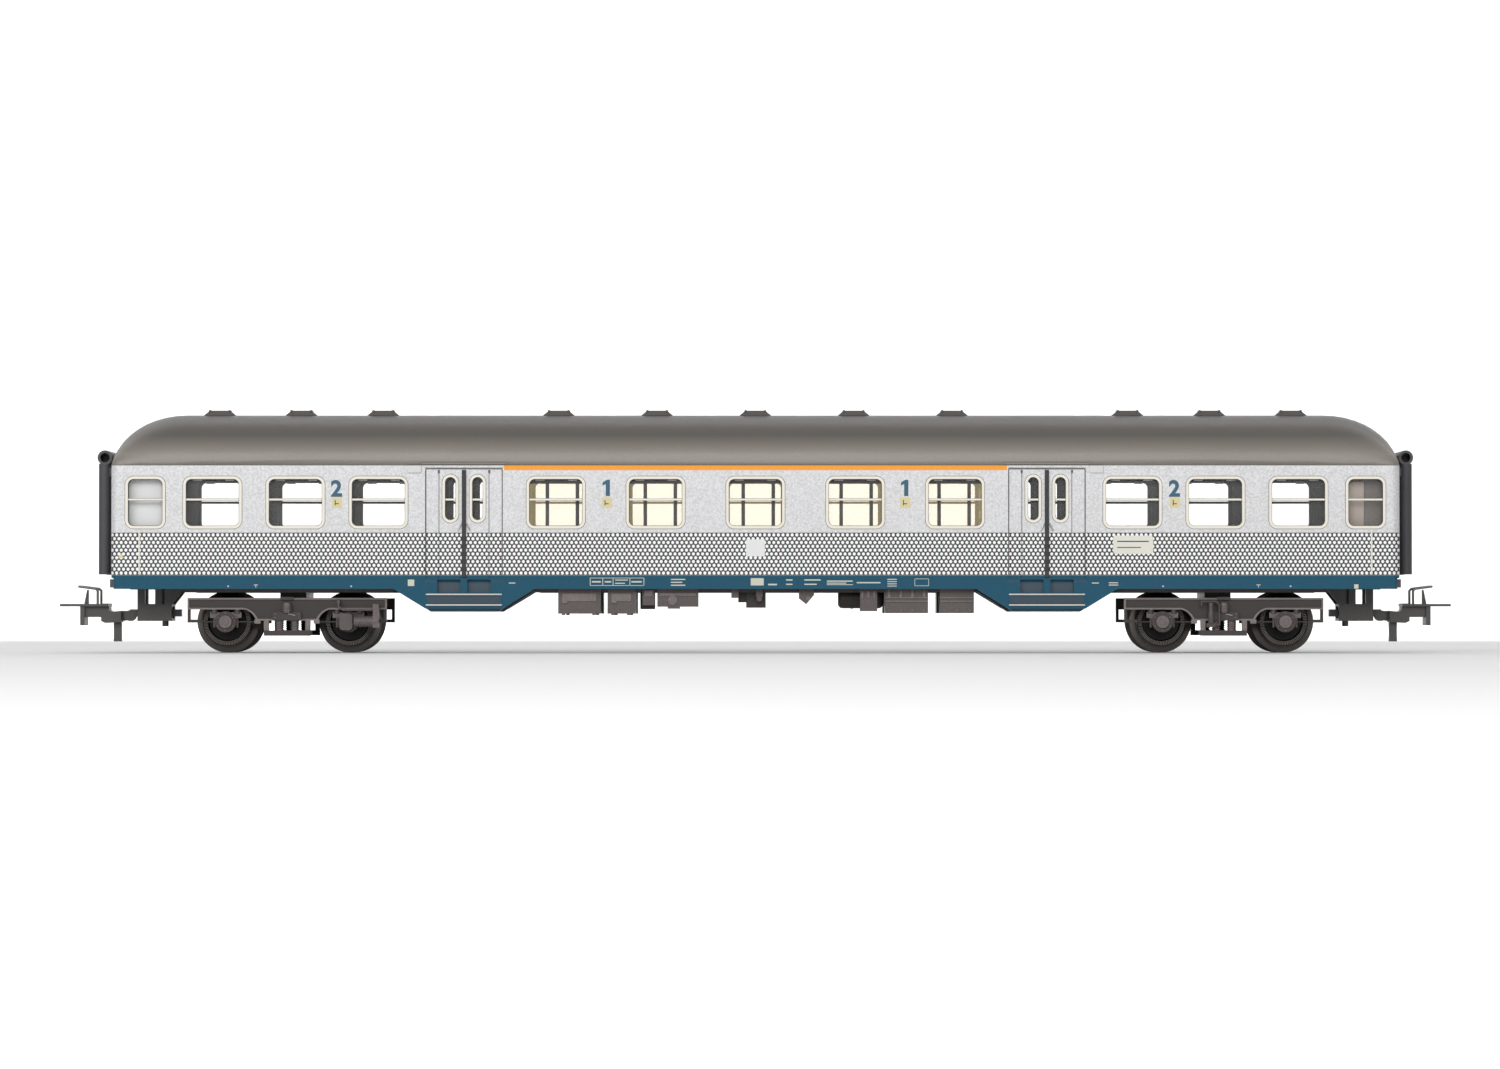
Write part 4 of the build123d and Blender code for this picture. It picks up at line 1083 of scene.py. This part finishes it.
class COACH_OT_bogie_details(CoachOperator):
    """Adds coil springs, axle-box bolts, spring cups, centre discs and levers to the bogies"""
    bl_idname = "coach.bogie_details"
    bl_label = "Bogie details"

    # depths and how pale each is, as painted light: painted shade deep in, painted highlights on
    # the outermost faces
    fitting_painted_light = ((11 * MM, 0.4), (12.6 * MM, 0.6), (13.2 * MM, 1.6), (14.4 * MM, 2.6))

    def execute(self, context):
        dark = painted_depth_light("Fitting brown", self.colours.dark, 0.4, self.fitting_painted_light)
        rubber = moulded("Spring rubber", (0.03, 0.028, 0.028), 0.5, 0.2)
        steel = bright_steel("Lever steel", 0.45)
        kinds = (("coil_springs", self.coils, dark, "dark_plastic", 80),
                 ("box_bolts", self.bolts, dark, "dark_plastic", 35),
                 ("spring_cups", self.cups, rubber, "black_rubber", 60),
                 ("centre_discs", self.discs, dark, "dark_plastic", 35),
                 ("centre_levers", self.levers, steel, "steel", 35))
        for end, x in BOGIES.items():
            for name, maker, material, slot, smooth_angle in kinds:
                piece(f"{name}_{end}", lambda made: maker(made, x), f"bogie_{end}", material,
                      smooth_angle)
        return {"FINISHED"}

    @staticmethod
    def coils(made, x):
        """Four turns of wire round each spring post."""
        low, high = 3.5, 5.3
        turns, steps = 4, 14
        for side in SIDES:
            for s in SIDES:
                centre = at(x + s * 1.55, side * SPRING_LINE, low)
                ring = bmesh.ops.create_circle(
                    made, segments=6, radius=0.15 * MM,
                    matrix=Matrix.Translation(centre + Vector((0.78 * MM, 0, 0)))
                    @ Matrix.Rotation(math.pi / 2, 4, "X"))["verts"]
                edges = list({edge for vert in ring for edge in vert.link_edges})
                rise = (high - low) * MM / (turns * steps)
                bmesh.ops.spin(made, geom=edges, cent=centre, axis=(0, 0, 1),
                               dvec=(0, 0, rise), angle=2 * math.pi * turns,
                               steps=turns * steps)
        bmesh.ops.holes_fill(made, edges=[e for e in made.edges if e.is_boundary], sides=8)

    @staticmethod
    def bolts(made, x):
        """Six bolts round each axle box, a boss on its cap, and bolts under the beam."""
        for side, axle in axle_boxes(x):
            out = Vector((0, side * 0.16 * MM, 0))
            for i in range(6):
                angle = math.radians(60 * i + 30)
                place = at(axle + BOLT_CIRCLE * math.cos(angle), side * (FRAME_OUT + 0.4),
                           AXLE_HEIGHT + BOLT_CIRCLE * math.sin(angle))
                add_rod(made, place - out, place + out, 0.2 * MM, 6)
            cap = at(axle, side * (FRAME_OUT + 0.9), AXLE_HEIGHT)
            add_rod(made, cap, cap + out * 0.75, 0.62 * MM, 24)
            for s in SIDES:
                spot = axle + s * 2.3
                add_rod(made, at(spot, side * SPRING_LINE, 4.0), at(spot, side * SPRING_LINE, 6.0),
                        0.28 * MM, 10)
                add_block(made, at(axle + s * 1.7 - 0.7, side * 13.2 - 0.3, 5.7),
                          at(axle + s * 1.7 + 0.7, side * 13.2 + 0.3, 6.4))
        ease(made, 0.04)

    @staticmethod
    def cups(made, x):
        """Rubber cones between the axle boxes and the beam."""
        for side, axle in axle_boxes(x):
            for s in SIDES:
                for low, high, wide, narrow in ((6.85, 7.3, 0.8, 0.72), (7.3, 7.7, 0.72, 0.55)):
                    add_rod(made, at(axle + s * 2.33, side * SPRING_LINE, low),
                            at(axle + s * 2.33, side * SPRING_LINE, high), wide * MM, 20,
                            narrow * MM)

    @staticmethod
    def discs(made, x):
        """A stack of discs on the middle of each side frame, with bolts beside it."""
        for side in SIDES:
            for z in (7.35, 7.85, 8.35):
                spot = at(x, side * (FRAME_OUT + 0.1), z)
                add_rod(made, spot, spot + Vector((0, 0, 0.24 * MM)), 1.08 * MM, 28)
            for s in SIDES:
                for z in (6.0, 6.7):
                    spot = at(x + s * 2.4, side * (FRAME_OUT + 0.5), z)
                    add_rod(made, spot, spot + Vector((0, side * 0.15 * MM, 0)), 0.17 * MM, 6)

    @staticmethod
    def levers(made, x):
        """A thin bright rod across the middle of each side frame."""
        for side in SIDES:
            y = side * (FRAME_OUT + 0.62)
            add_rod(made, at(x + 0.3, y, 6.75), at(x + 1.7, y, 6.45), 0.13 * MM, 10)


class COACH_PT_panel(bpy.types.Panel):
    """Lists the coach's operators and settings"""
    bl_label = "Model coach"
    bl_space_type = "VIEW_3D"
    bl_region_type = "UI"
    bl_category = "Coach"

    def draw(self, context):
        """Draws the settings, then a button for each operator."""
        for group in (context.scene.coach_sizes, context.scene.coach_colours):
            for name in group.__annotations__:
                self.layout.prop(group, name)
        for step in STEPS:
            self.layout.operator(step.bl_idname)


STEPS = (COACH_OT_stage, COACH_OT_body, COACH_OT_ends, COACH_OT_underframe, COACH_OT_interior,
         COACH_OT_bogies, COACH_OT_wheels, COACH_OT_couplers, COACH_OT_marks,
         COACH_OT_fittings, COACH_OT_bogie_details)
CLASSES = (CoachSizes, CoachColours, *STEPS, COACH_PT_panel)


def register():
    """Registers the classes and hangs the settings on the scene."""
    for item in CLASSES:
        bpy.utils.register_class(item)
    bpy.types.Scene.coach_sizes = PointerProperty(type=CoachSizes)
    bpy.types.Scene.coach_colours = PointerProperty(type=CoachColours)


def unregister():
    """Takes the settings and classes away again."""
    del bpy.types.Scene.coach_colours
    del bpy.types.Scene.coach_sizes
    for item in reversed(CLASSES):
        bpy.utils.unregister_class(item)


def main():
    """Builds the looks step by step."""
    register()
    for step in STEPS:
        getattr(bpy.ops.coach, step.bl_idname.split(".")[1])()


if __name__ == "__main__":
    main()
